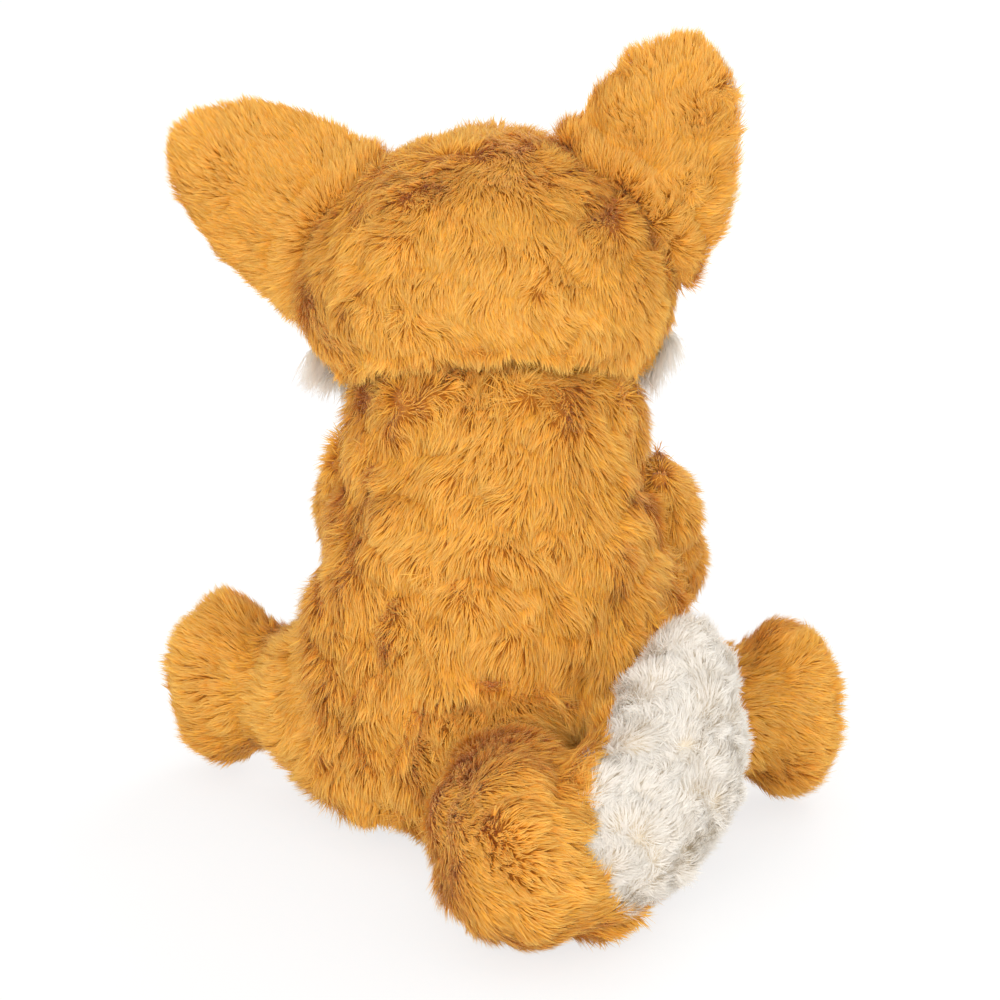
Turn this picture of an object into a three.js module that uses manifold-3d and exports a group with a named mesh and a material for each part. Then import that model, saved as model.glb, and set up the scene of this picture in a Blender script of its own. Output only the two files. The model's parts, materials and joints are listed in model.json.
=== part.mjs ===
// A seated plush fox, about 32 cm tall: stuffed panels sewn over soft cores, with plastic eyes and nose.
// Millimetres, +Z up. The fox faces -Y, so +X is its own left. The origin is the middle of its flat seat.
import * as THREE from "three";
import { mergeVertices } from "three/addons/utils/BufferGeometryUtils.js";
import Module from "manifold-3d";

const wasm = await Module();
wasm.setup();

// Sewing
const fabric = 5; // pile and backing of one panel
const gap = 0.3; // between two pieces that touch
const floorGap = 0.5; // under the limbs, so the seat alone carries the toy

// Torso
const hipWidth = 166;
const hipDepth = 144;
const hipSetback = 5; // the seat's middle lies this far behind the origin
const hipBottom = -7; // where the hips would close if the seat were not flat
const hipTop = 182; // where they close inside the chest
const hipWidthShares = [0.9, 1, 1, 1.01, 0.94, 0.86, 0.79, 0.74, 0.7, 0.56];
const hipDepthShares = [0.9, 1, 1, 1.01, 0.99, 0.96, 0.93, 0.9, 0.86, 0.7];
const hipRoundShares = [0.18, 0.3]; // of a form's length that rounds off at its start and its end
const chestRadius = 60; // the chest is a ball, so the head and arms can turn on it
const chestHeight = 154;
const chestSetback = -5;
const bellySeam = -46; // the cream belly panel is in front of this
const seatSeam = 8; // the seat panel's rim turns up to here
const pouchWidth = 84;
const pouchDepth = 68;
const pouchHeight = 26;
const pouchSinkShare = 0.17; // of its height, where the seat flattens it

// Head, measured from the middle of the chest ball
const headTilt = 4.5; // degrees, towards its left ear
const skullWidth = 150;
const skullDepth = 120;
const skullHeight = 114;
const skullRise = 62;
const skullSetback = -5;
const cheekFullness = 0.16; // how much wider the lower half of the head is
const headSeam = -10; // the back panels and the ears meet the face here
const whiteLine = 38; // cheeks and chin are white below this
const chinWidth = 44;
const muzzleReach = 96;
const muzzleRoot = 30;
const muzzleRise = 43;
const muzzleDroop = 7;
const muzzleWidth = 60;
const muzzleHeight = 50;
const muzzleShares = [1, 1, 0.88, 0.68, 0.52];
const muzzleRoundShares = [0.1, 0.16];
const wadAngle = 34; // degrees, half the opening of the neck's wad of stuffing
const wadThickness = 6;

// Ears
const earLength = 79;
const earWidth = 68;
const earThickness = 15;
const earBow = 7; // how far the edges curl forward
const earSpread = 58; // of the ear's root from the head's middle
const earRise = 76;
const earRootDepth = 16; // of the root below the spread and rise given above
const earLeanLeft = 50; // degrees from upright
const earLeanRight = 24;
const earWidthShares = [0.84, 0.95, 1, 0.97, 0.88, 0.76, 0.62];
const earLiningShare = 0.4; // of the ear's thickness that is its lining
const earTipShare = 0.4; // of its length that rounds off to its tip
const earFootShare = 0.1; // of its length that rounds off to its root
const earFold = 20; // degrees each way
const hemRadius = 5;
const hemLength = 46;
const hemDepth = 3; // of the hem's middle below the head's surface

// Eyes and nose
const eyeRadius = 7;
const eyeHeight = 5;
const eyeSink = 1;
const eyeTurn = 31; // degrees each side of the middle
const eyeLift = 10; // degrees above the skull's middle
const shankRadius = 2.4;
const washerRadius = 7;
const washerThickness = 1.6;
const washerInset = 1.6; // behind the inside of the panel
const shankEnd = 3; // of the shank past its washer
const noseWidth = 21;
const noseHeight = 13;
const noseDepth = 9;
const noseProud = 4;

// Arms, measured from the middle of the chest ball
const armSpread = 60;
const armRadius = 20;
const armReach = 112; // from the chest's middle to the tip of the paw
const armAngle = 36; // degrees forward of straight down
const armSpreadShares = [0.6, 0.86, 1, 1.02, 1, 0.96];
const armReachShares = [-0.02, 0.2, 0.4, 0.6, 0.8, 1];
const armGirthShares = [0.9, 0.95, 0.98, 1, 1.06, 1.08];
const armRoundShares = [0.18, 0.2];

// Legs
const hipJointSpread = 57;
const hipJointSetback = 2;
const hipJointHeight = 42;
const thighRadius = 40;
const hipSeat = 50; // the flat sewn end of the leg stands this far from the middle
const footSpread = 113;
const footSetback = -21;
const footHeight = 77;
const footWidth = 62;
const footThickness = 50;
const shinRadius = 27;
const shinRoundShares = [0.2, 0.2];
const soleStart = 13; // of the sole's seam past the middle of the foot

// Tail: its orange length lies straight back on the floor, and its end curls forward and up from there
const tailOffset = 9; // of its root, to the right of the middle
const tailSetback = 54;
const tailHeight = 45;
const tailRootRadius = 31;
const tailGirth = 66; // across, lying down
const tailDepth = 71; // top to bottom
const tailReach = 110; // back from its root
const tailSweep = 75; // to the right of its root
const tailRise = 72; // of the tip above the length that lies
// Each place has its shares of the sweep, of the reach, and of the drop from the root or the rise to the tip
const tailBaseShares = [[0, 0, 0], [0.09, 0.31, 0.45], [0.24, 0.64, 0.9], [0.44, 1, 0.95]];
const tailCurlShares = [
  [0.12, 0.58, 0.01], [0.55, 0.57, 0.01], [0.83, 0.39, 0.14], [0.95, 0.18, 0.5], [1, 0.02, 1],
];
const tipSeamShares = [0.53, 0.36, 0.51]; // a place on the seam of the white tip
const tipWay = new THREE.Vector3(-3, 0.6, 1).normalize(); // square to that seam, towards the tip
const baseGirthShares = [0.66, 0.74, 0.94, 1, 1];
const curlGirthShares = [0.88, 0.98, 1, 0.96, 0.86, 0.72];
const tailRoundShares = [0.1, 0.3];
const tailSwing = 25; // degrees, away from the right leg
const tailSteps = 6; // at which the rump's outline is cut out of it
const tailClearance = 1.4; // from the rump, which also covers what lies between two steps

// Facets
const bodySides = 18;
const bodyRings = 11;
const limbSides = 10;
const limbRings = 7;
const ballSides = 20;
const ballRings = 11;
const smallSides = 10;
const insideShare = 0.62; // of those counts on surfaces that lie inside

const deg = Math.PI / 180;
const leftAndRight = [["left", 1], ["right", -1]];
const chestCentre = new THREE.Vector3(0, chestSetback, chestHeight);
const tailRoot = new THREE.Vector3(-tailOffset, tailSetback, tailHeight);
const tailLie = tailDepth / 2 + floorGap; // height of the middle of the length that lies

// Materials
const plush = (color) => new THREE.MeshStandardMaterial({ color, roughness: 0.95, metalness: 0 });
const orangePlush = plush(0xd2903c);
const whitePlush = plush(0xf1ece0);
const creamPlush = plush(0xf3e6cb);
const stuffing = plush(0xfafafa);
const pouchCloth = plush(0xe9e4d6);
const blackPlastic = new THREE.MeshStandardMaterial({ color: 0x141210, roughness: 0.15, metalness: 0 });
const washerPlastic = new THREE.MeshStandardMaterial({ color: 0xf0f0ee, roughness: 0.5, metalness: 0 });

// A closed geometry as a solid that can be joined and cut
function solid(geometry) {
  geometry.deleteAttribute("normal");
  geometry.deleteAttribute("uv");
  const merged = mergeVertices(geometry);
  const corners = merged.attributes.position.array;
  const faces = Uint32Array.from(merged.index.array);
  let volume = 0;
  const [a, b, c] = [new THREE.Vector3(), new THREE.Vector3(), new THREE.Vector3()];
  for (let i = 0; i < faces.length; i += 3) {
    a.fromArray(corners, 3 * faces[i]);
    b.fromArray(corners, 3 * faces[i + 1]);
    c.fromArray(corners, 3 * faces[i + 2]);
    volume += a.dot(b.cross(c));
  }
  // A mirrored shape comes out inside out, so its faces are turned round
  if (volume < 0) {
    for (let i = 0; i < faces.length; i += 3) {
      [faces[i], faces[i + 1]] = [faces[i + 1], faces[i]];
    }
  }
  return new wasm.Manifold(new wasm.Mesh({ numProp: 3, vertProperties: corners, triVerts: faces }));
}

// A named mesh of the largest body of a solid, without the slivers that a cut may leave
function meshOf(name, body, material) {
  const bodies = body.decompose().sort((a, b) => b.volume() - a.volume());
  const { vertProperties, triVerts } = bodies[0].getMesh();
  const geometry = new THREE.BufferGeometry();
  geometry.setAttribute("position", new THREE.BufferAttribute(vertProperties, 3));
  geometry.setIndex(new THREE.BufferAttribute(triVerts, 1));
  geometry.computeVertexNormals();
  const mesh = new THREE.Mesh(geometry, material);
  mesh.name = name;
  return mesh;
}

// The part of a solid on the far side of a plane, which normal points into
function beyond(body, normal, distance) {
  return body.trimByPlane([normal.x, normal.y, normal.z], distance);
}

const towards = {
  left: new THREE.Vector3(1, 0, 0),
  right: new THREE.Vector3(-1, 0, 0),
  back: new THREE.Vector3(0, 1, 0),
  front: new THREE.Vector3(0, -1, 0),
  up: new THREE.Vector3(0, 0, 1),
  down: new THREE.Vector3(0, 0, -1),
};

// The number of facets round a form, with fewer on the ones that lie inside
function facets(count, inset) {
  return inset > 0 ? 2 * Math.round((count * insideShare) / 2) : count;
}

function ball(radius, centre, inset = 0) {
  const geometry = new THREE.SphereGeometry(
    radius - inset, facets(ballSides, inset), facets(ballRings, inset),
  );
  geometry.rotateX(90 * deg);
  geometry.translate(centre.x, centre.y, centre.z);
  return solid(geometry);
}

// The radius of a faceted socket whose flats just clear a ball of this radius
function socketRadius(radius) {
  return radius / (Math.cos(Math.PI / ballSides) * Math.cos(Math.PI / (2 * ballRings)));
}

// A socket for a ball, turned by half a facet so that the ball's corners face its flats
function socket(radius, centre) {
  const geometry = new THREE.SphereGeometry(socketRadius(radius + gap), ballSides, ballRings);
  geometry.rotateY(Math.PI / ballSides);
  geometry.rotateX(90 * deg);
  geometry.translate(centre.x, centre.y, centre.z);
  return solid(geometry);
}

// A curve through evenly spaced values, read between its ends
function blend(values) {
  const curve = new THREE.SplineCurve(values.map((value, i) => new THREE.Vector2(i, value)));
  return (share) => curve.getPoint(THREE.MathUtils.clamp(share, 0, 1)).y;
}

// A point on the path, which runs straight on past its ends
function pointOn(path, share) {
  const inside = THREE.MathUtils.clamp(share, 0, 1);
  const point = path.getPoint(inside);
  return point.addScaledVector(path.getTangent(inside), (share - inside) * path.getLength());
}

// A stuffed form: oval sections along a path, rounded at both ends, drawn in all over by inset
function stuffed({ path, across, width, height, roundShares, sides, rings, inset = 0 }) {
  const geometry = new THREE.SphereGeometry(1, facets(sides, inset), facets(rings, inset));
  geometry.rotateX(90 * deg);
  const trim = inset / path.getLength();
  const position = geometry.attributes.position;
  const unit = new THREE.Vector3();
  for (let i = 0; i < position.count; i += 1) {
    unit.fromBufferAttribute(position, i);
    const share = (1 - unit.z) / 2;
    const start = 1 - Math.min(share / roundShares[0], 1);
    const end = 1 - Math.min((1 - share) / roundShares[1], 1);
    const round = Math.sqrt(1 - start * start) * Math.sqrt(1 - end * end);
    const place = trim + share * (1 - 2 * trim);
    const along = path.getTangent(THREE.MathUtils.clamp(place, 0, 1));
    const side = across.clone().addScaledVector(along, -across.dot(along)).normalize();
    const up = along.clone().cross(side);
    const flat = Math.hypot(unit.x, unit.y) || 1;
    const point = pointOn(path, place);
    point.addScaledVector(side, (unit.x / flat) * round * (width(place) / 2 - inset));
    point.addScaledVector(up, (unit.y / flat) * round * (height(place) / 2 - inset));
    position.setXYZ(i, point.x, point.y, point.z);
  }
  return solid(geometry);
}

// Hips and chest as one form, without the flat of the seat
function torsoForm(inset) {
  const widthShare = blend(hipWidthShares);
  const depthShare = blend(hipDepthShares);
  const hips = stuffed({
    path: new THREE.LineCurve3(
      new THREE.Vector3(0, hipSetback, hipBottom),
      new THREE.Vector3(0, hipSetback + chestSetback, hipTop),
    ),
    across: towards.left,
    width: (share) => hipWidth * widthShare(share),
    height: (share) => hipDepth * depthShare(share),
    roundShares: hipRoundShares,
    sides: bodySides,
    rings: bodyRings,
    inset,
  });
  return hips.add(ball(chestRadius, chestCentre, inset));
}

function hipJoint(side) {
  return new THREE.Vector3(side * hipJointSpread, hipJointSetback, hipJointHeight);
}

function footCentre(side) {
  return new THREE.Vector3(side * footSpread, footSetback, footHeight / 2 + floorGap);
}

// The room that a leg sweeps as it swings about its hip, as one round recess
function legRoom(side) {
  const tube = shinRadius + gap;
  const run = footSpread - hipJointSpread;
  const rise = Math.abs(footSetback - hipJointSetback);
  const wall = (reach) => {
    const shin = (rise * reach) / run + (tube * Math.hypot(run, rise)) / run;
    const thigh = Math.sqrt(Math.max((thighRadius + gap) ** 2 - reach ** 2, 0));
    return Math.max(shin, thigh) / Math.cos(Math.PI / ballSides);
  };
  const floor = hipSeat - hipJointSpread;
  const steps = 8;
  const profile = [new THREE.Vector2(0, floor)];
  for (let i = 0; i <= steps; i += 1) {
    const reach = floor + (i / steps) * (footSpread - hipSeat);
    const widest = Math.max(wall(reach), wall(0));
    profile.push(new THREE.Vector2(widest, reach));
  }
  profile.push(new THREE.Vector2(0, footSpread - hipJointSpread));
  const geometry = new THREE.LatheGeometry(profile, ballSides);
  geometry.rotateZ(-side * 90 * deg);
  const hip = hipJoint(side);
  geometry.translate(hip.x, hip.y, hip.z);
  return solid(geometry);
}

function legForm(side, inset) {
  const hip = hipJoint(side);
  const foot = footCentre(side);
  const along = foot.clone().sub(hip).normalize();
  const shin = stuffed({
    path: new THREE.LineCurve3(hip, foot),
    across: towards.up,
    width: () => 2 * shinRadius,
    height: () => 2 * shinRadius,
    roundShares: shinRoundShares,
    sides: limbSides,
    rings: 6,
    inset,
  });
  const footShape = new THREE.SphereGeometry(
    1, facets(limbSides, inset), facets(limbRings, inset),
  );
  footShape.rotateX(90 * deg);
  footShape.scale(footThickness / 2 - inset, footWidth / 2 - inset, footHeight / 2 - inset);
  footShape.rotateZ(Math.atan2(along.y, along.x));
  footShape.translate(foot.x, foot.y, foot.z);
  const whole = ball(thighRadius, hip, inset).add(shin).add(solid(footShape));
  return beyond(whole, side > 0 ? towards.left : towards.right, hipSeat + gap);
}

function armForm(side, inset) {
  const points = armReachShares.map((reachShare, i) => {
    const reach = reachShare * armReach;
    return new THREE.Vector3(
      side * armSpread * armSpreadShares[i],
      chestSetback - reach * Math.sin(armAngle * deg),
      chestHeight - reach * Math.cos(armAngle * deg),
    );
  });
  const girthShare = blend(armGirthShares);
  return stuffed({
    path: new THREE.CatmullRomCurve3(points),
    across: towards.left,
    width: (share) => 2 * armRadius * girthShare(share),
    height: (share) => 2 * armRadius * girthShare(share),
    roundShares: armRoundShares,
    sides: limbSides,
    rings: limbRings,
    inset,
  });
}

function tailPlace([sweepShare, reachShare], height) {
  return new THREE.Vector3(
    tailRoot.x - sweepShare * tailSweep, tailRoot.y + reachShare * tailReach, height,
  );
}

function tailForm(inset) {
  const base = tailBaseShares.map((shares) => {
    return tailPlace(shares, THREE.MathUtils.lerp(tailRoot.z, tailLie, shares[2]));
  });
  const curl = tailCurlShares.map((shares) => tailPlace(shares, tailLie + shares[2] * tailRise));
  const lengths = [[base, baseGirthShares], [curl, curlGirthShares]];
  const [straight, curled] = lengths.map(([points, girthShares]) => {
    const girthShare = blend(girthShares);
    return stuffed({
      path: new THREE.CatmullRomCurve3(points),
      across: towards.up,
      width: (share) => tailDepth * girthShare(share),
      height: (share) => tailGirth * girthShare(share),
      roundShares: tailRoundShares,
      sides: limbSides + 2,
      rings: limbRings + 2,
      inset,
    });
  });
  return straight.add(curled);
}

const torsoSolid = torsoForm(0);
const seatCut = beyond(torsoSolid, towards.up, 0);
const legRooms = leftAndRight.map(([, side]) => legRoom(side));
const tailRoom = socket(tailRootRadius, tailRoot);

function withRooms(body) {
  return legRooms.reduce((rest, room) => rest.subtract(room), body).subtract(tailRoom);
}

// Torso: two back panels, a belly panel, a seat panel, the stuffing and a pouch of pellets
function makeTorso() {
  const group = new THREE.Group();
  const hollow = beyond(torsoForm(fabric), towards.up, fabric);
  const shell = withRooms(seatCut.subtract(hollow));
  const walls = beyond(shell, towards.up, seatSeam + gap / 2);
  const back = beyond(walls, towards.back, bellySeam + gap / 2);
  group.add(
    meshOf("torso_back_left", beyond(back, towards.left, gap / 2), orangePlush),
    meshOf("torso_back_right", beyond(back, towards.right, gap / 2), orangePlush),
    meshOf("belly_panel", beyond(walls, towards.front, gap / 2 - bellySeam), creamPlush),
    meshOf("seat_panel", beyond(shell, towards.down, gap / 2 - seatSeam), orangePlush),
  );
  const floor = fabric + gap;
  const pouchShape = (spare) => {
    const geometry = new THREE.SphereGeometry(1, bodySides, limbRings);
    geometry.rotateX(90 * deg);
    geometry.scale(pouchWidth / 2 + spare, pouchDepth / 2 + spare, pouchHeight / 2 + spare);
    geometry.translate(0, 0, floor + pouchHeight * (0.5 - pouchSinkShare));
    return solid(geometry);
  };
  const core = withRooms(beyond(torsoForm(floor), towards.up, floor));
  group.add(
    meshOf("torso_stuffing", core.subtract(pouchShape(gap)), stuffing),
    meshOf("pellet_pouch", beyond(pouchShape(0), towards.up, floor), pouchCloth),
  );
  return group;
}

function makeLeg(name, side) {
  const group = new THREE.Group();
  const hip = hipJoint(side);
  const foot = footCentre(side);
  const along = foot.clone().sub(hip).normalize();
  const soleAt = along.dot(foot) + soleStart;
  const shell = legForm(side, 0).subtract(legForm(side, fabric));
  const sleeve = beyond(shell, along.clone().negate(), gap / 2 - soleAt);
  group.add(
    meshOf(`leg_${name}_upper`, beyond(sleeve, towards.up, hip.z + gap / 2), orangePlush),
    meshOf(`leg_${name}_lower`, beyond(sleeve, towards.down, gap / 2 - hip.z), orangePlush),
    meshOf(`leg_${name}_sole`, beyond(shell, along, soleAt + gap / 2), creamPlush),
    meshOf(`leg_${name}_stuffing`, legForm(side, fabric + gap), stuffing),
  );
  return group;
}

// Arms are cut by the chest, and by a ball round it that clears them as they swing
function makeArm(name, side) {
  const group = new THREE.Group();
  const bodyRoom = torsoForm(-gap).add(socket(chestRadius, chestCentre));
  const whole = armForm(side, 0).subtract(bodyRoom);
  const shell = whole.subtract(armForm(side, fabric));
  const split = armSpread;
  const outward = side > 0 ? towards.left : towards.right;
  const inward = outward.clone().negate();
  group.add(
    meshOf(`arm_${name}_outer`, beyond(shell, outward, split + gap / 2), orangePlush),
    meshOf(`arm_${name}_inner`, beyond(shell, inward, gap / 2 - split), orangePlush),
    meshOf(`arm_${name}_stuffing`, armForm(side, fabric + gap).subtract(bodyRoom), stuffing),
  );
  return group;
}

// The tail is cut back by the rump where that lies at each step of its swing, and turns on a round root
function makeTail() {
  const group = new THREE.Group();
  const tipAt = tipWay.dot(tailPlace(tipSeamShares, tailLie + tipSeamShares[2] * tailRise));
  const root = (inset) => ball(tailRootRadius, tailRoot, inset);
  const rump = torsoForm(-tailClearance);
  const cutBack = (inset) => {
    let rest = beyond(tailForm(inset), towards.up, floorGap);
    for (let i = 0; i <= tailSteps; i += 1) {
      const turned = meshOf("rump", rump, stuffing).geometry;
      turned.translate(-tailRoot.x, -tailRoot.y, -tailRoot.z);
      turned.rotateZ((i / tailSteps) * tailSwing * deg);
      turned.translate(tailRoot.x, tailRoot.y, tailRoot.z);
      rest = rest.subtract(solid(turned));
    }
    return rest.add(root(inset));
  };
  const inner = tailForm(fabric).add(root(fabric));
  const shell = cutBack(0).subtract(beyond(inner, towards.up, floorGap + fabric));
  const clearOfRoot = shell.subtract(tailRoom);
  const orange = beyond(clearOfRoot, tipWay.clone().negate(), gap / 2 - tipAt)
    .add(shell.intersect(tailRoom));
  const core = beyond(cutBack(fabric + gap), towards.up, floorGap + fabric + gap);
  group.add(
    meshOf("tail_upper", beyond(orange, towards.up, tailRoot.z + gap / 2), orangePlush),
    meshOf("tail_lower", beyond(orange, towards.down, gap / 2 - tailRoot.z), orangePlush),
    meshOf("tail_tip", beyond(clearOfRoot, tipWay, tipAt + gap / 2), whitePlush),
    meshOf("tail_stuffing", core, stuffing),
  );
  return group;
}

// Everything from here to the ears is measured from the middle of the chest ball
const skullCentre = new THREE.Vector3(0, skullSetback, skullRise);

function skullPoint(unit, inset) {
  const full = 1 - cheekFullness * unit.z;
  return new THREE.Vector3(
    skullCentre.x + (skullWidth / 2 - inset) * unit.x * full,
    skullCentre.y + (skullDepth / 2 - inset) * unit.y,
    skullCentre.z + (skullHeight / 2 - inset) * unit.z,
  );
}

function headForm(inset) {
  const geometry = new THREE.SphereGeometry(
    1, facets(bodySides, inset), facets(bodyRings, inset),
  );
  geometry.rotateX(90 * deg);
  const position = geometry.attributes.position;
  for (let i = 0; i < position.count; i += 1) {
    const point = skullPoint(new THREE.Vector3().fromBufferAttribute(position, i), inset);
    position.setXYZ(i, point.x, point.y, point.z);
  }
  const share = blend(muzzleShares);
  const muzzle = stuffed({
    path: new THREE.LineCurve3(
      new THREE.Vector3(0, -muzzleRoot, muzzleRise),
      new THREE.Vector3(0, -muzzleReach, muzzleRise - muzzleDroop),
    ),
    across: towards.left,
    width: (place) => muzzleWidth * share(place),
    height: (place) => muzzleHeight * share(place),
    roundShares: muzzleRoundShares,
    sides: limbSides,
    rings: limbRings - 2,
    inset,
  });
  return solid(geometry).add(muzzle);
}

// A thick lens on top of the chest ball, between two radii and out to an angle from the middle
function lens(low, high, opening) {
  const steps = 4;
  const arc = (radius, i) => {
    const angle = (i / steps) * opening;
    return new THREE.Vector2(radius * Math.sin(angle), radius * Math.cos(angle));
  };
  const profile = [];
  for (let i = 0; i <= steps; i += 1) profile.push(arc(low, i));
  for (let i = steps; i >= 0; i -= 1) profile.push(arc(high, i));
  const geometry = new THREE.LatheGeometry(profile, ballSides);
  geometry.rotateX(90 * deg);
  return solid(geometry);
}

// A plastic eye or the nose is one moulding with a shank, held by a washer behind the panel
function shank(spare) {
  const length = fabric + washerInset + washerThickness + shankEnd;
  const geometry = new THREE.CylinderGeometry(
    shankRadius + spare, shankRadius + spare, length + spare, smallSides,
  );
  geometry.rotateX(90 * deg);
  geometry.translate(0, 0, -(length + spare) / 2);
  return geometry;
}

function washer() {
  const hole = shankRadius + gap;
  const low = -fabric - washerInset - washerThickness;
  const profile = [
    new THREE.Vector2(hole, low),
    new THREE.Vector2(washerRadius, low),
    new THREE.Vector2(washerRadius, low + washerThickness),
    new THREE.Vector2(hole, low + washerThickness),
    new THREE.Vector2(hole, low),
  ];
  const geometry = new THREE.LatheGeometry(profile, smallSides);
  geometry.rotateX(90 * deg);
  return geometry;
}

function washerRoom() {
  const deep = washerThickness + 2 * gap;
  const geometry = new THREE.CylinderGeometry(washerRadius + gap, washerRadius + gap, deep, smallSides);
  geometry.rotateX(90 * deg);
  geometry.translate(0, 0, -fabric - washerInset - washerThickness / 2);
  return geometry;
}

function eyeDome(spare) {
  const steps = 5;
  const profile = [new THREE.Vector2(0, -eyeSink - spare)];
  for (let i = 0; i <= steps; i += 1) {
    const angle = (i / steps) * 90 * deg;
    profile.push(new THREE.Vector2(
      i === steps ? 0 : (eyeRadius + spare) * Math.cos(angle),
      (eyeHeight + spare) * Math.sin(angle) - eyeSink - (i === 0 ? spare : 0),
    ));
  }
  const geometry = new THREE.LatheGeometry(profile, smallSides);
  geometry.rotateX(90 * deg);
  return geometry;
}

function noseDome(spare) {
  const geometry = new THREE.SphereGeometry(1, smallSides, smallSides / 2);
  geometry.scale(noseWidth / 2 + spare, noseHeight / 2 + spare, noseDepth / 2 + spare);
  geometry.translate(0, 0, noseProud - noseDepth / 2);
  return geometry;
}

function placed(geometry, matrix) {
  geometry.applyMatrix4(matrix);
  return solid(geometry);
}

function facing(point, outward) {
  const turn = new THREE.Quaternion().setFromUnitVectors(towards.up, outward);
  return new THREE.Matrix4().compose(point, turn, new THREE.Vector3(1, 1, 1));
}

function eyeMatrix(side) {
  const lift = eyeLift * deg;
  const unit = new THREE.Vector3(
    side * Math.sin(eyeTurn * deg) * Math.cos(lift),
    -Math.cos(eyeTurn * deg) * Math.cos(lift),
    Math.sin(lift),
  );
  const outward = new THREE.Vector3(
    unit.x / skullWidth, unit.y / skullDepth, unit.z / skullHeight,
  ).normalize();
  return facing(skullPoint(unit, 0), outward);
}

function noseMatrix() {
  const outward = new THREE.Vector3(0, muzzleRoot - muzzleReach, -muzzleDroop).normalize();
  return facing(new THREE.Vector3(0, -muzzleReach, muzzleRise - muzzleDroop), outward);
}

// Where an ear's hem is sewn in: on the head's surface, with the hem along the seam
function earSeat(side) {
  const lean = (side > 0 ? earLeanLeft : earLeanRight) * deg;
  const root = new THREE.Vector3(earSpread, headSeam, earRise);
  const way = new THREE.Vector3(Math.sin(lean), 0, Math.cos(lean));
  // The surface is found by halving the stretch of the ear's middle line that crosses it
  let inside = 0;
  let outside = earLength;
  const share = (reach) => {
    const at = root.clone().addScaledVector(way, reach).sub(skullCentre);
    const high = at.z / (skullHeight / 2);
    const wide = at.x / ((skullWidth / 2) * (1 - cheekFullness * high));
    return Math.hypot(wide, at.y / (skullDepth / 2), high);
  };
  for (let i = 0; i < 30; i += 1) {
    const middle = (inside + outside) / 2;
    if (share(middle) < 1) inside = middle;
    else outside = middle;
  }
  const at = root.clone().addScaledVector(way, inside);
  const outward = new THREE.Vector3(
    (at.x - skullCentre.x) / skullWidth ** 2, 0, (at.z - skullCentre.z) / skullHeight ** 2,
  ).normalize();
  const along = new THREE.Vector3(-outward.z, 0, outward.x);
  const hem = at.clone().addScaledVector(outward, -hemDepth);
  for (const vector of [root, way, outward, along, hem]) vector.x *= side;
  return { root, way, outward, along, hem };
}

function hemRod(side, radius, length) {
  const { hem, along } = earSeat(side);
  const geometry = new THREE.CylinderGeometry(radius, radius, length, smallSides);
  const turn = new THREE.Quaternion().setFromUnitVectors(towards.back, along);
  geometry.applyQuaternion(turn);
  geometry.translate(hem.x, hem.y, hem.z);
  return solid(geometry);
}

// The room in the head for an ear's hem, whose flats just clear it
function hemRoom(side) {
  return hemRod(side, (hemRadius + gap) / Math.cos(Math.PI / smallSides), hemLength + 2 * gap);
}

// One layer of an ear, between its curled middle surface and its own swell to the front or the back
function earLayer(side, swell) {
  const { root, way } = earSeat(side);
  const across = new THREE.Vector3(-way.z * side, 0, way.x * side);
  const half = blend(earWidthShares);
  const front = Math.sign(swell);
  const geometry = new THREE.SphereGeometry(1, limbSides + 4, limbRings);
  geometry.rotateX(90 * deg);
  const position = geometry.attributes.position;
  for (let i = 0; i < position.count; i += 1) {
    const unit = new THREE.Vector3().fromBufferAttribute(position, i);
    const share = (1 + unit.z) / 2;
    const flat = Math.hypot(unit.x, unit.y) || 1;
    const tip = Math.max(1 - (1 - share) / earTipShare, 0);
    const foot = 1 - Math.min(share / earFootShare, 1);
    const round = Math.sqrt(1 - tip * tip) * Math.sqrt(1 - foot * foot);
    const wide = (unit.x / flat) * round;
    const thick = Math.max((unit.y / flat) * front, 0) * round * Math.abs(swell);
    const point = root.clone();
    point.addScaledVector(way, share * (earLength + earRootDepth) - earRootDepth);
    point.addScaledVector(across, wide * (earWidth / 2) * half(share));
    const curl = -earBow * wide * wide * half(share);
    point.y += curl + front * (thick + gap / 2);
    position.setXYZ(i, point.x, point.y, point.z);
  }
  return solid(geometry);
}

// Ears: a back panel with the hem that is sewn into the head, and a lining, both cut by the head's outline
function makeEar(name, side) {
  const group = new THREE.Group();
  const { hem, along } = earSeat(side);
  const skull = headForm(-gap);
  const foldSteps = 2;
  const clear = (body) => {
    let rest = body;
    for (let i = -foldSteps; i <= foldSteps; i += 1) {
      const turned = meshOf("skull", skull, stuffing).geometry;
      turned.translate(-hem.x, -hem.y, -hem.z);
      const turn = new THREE.Quaternion().setFromAxisAngle(along, (i / foldSteps) * earFold * deg);
      turned.applyQuaternion(turn);
      turned.translate(hem.x, hem.y, hem.z);
      rest = rest.subtract(solid(turned));
    }
    return rest;
  };
  const back = clear(earLayer(side, earThickness * (1 - earLiningShare)));
  const lining = clear(earLayer(side, -earThickness * earLiningShare));
  const hemClear = hemRod(side, hemRadius + gap, hemLength + 2 * gap);
  group.add(
    meshOf(`ear_${name}_back`, back.add(hemRod(side, hemRadius, hemLength)), orangePlush),
    meshOf(`ear_${name}_lining`, lining.subtract(hemClear), creamPlush),
  );
  return group;
}

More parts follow.
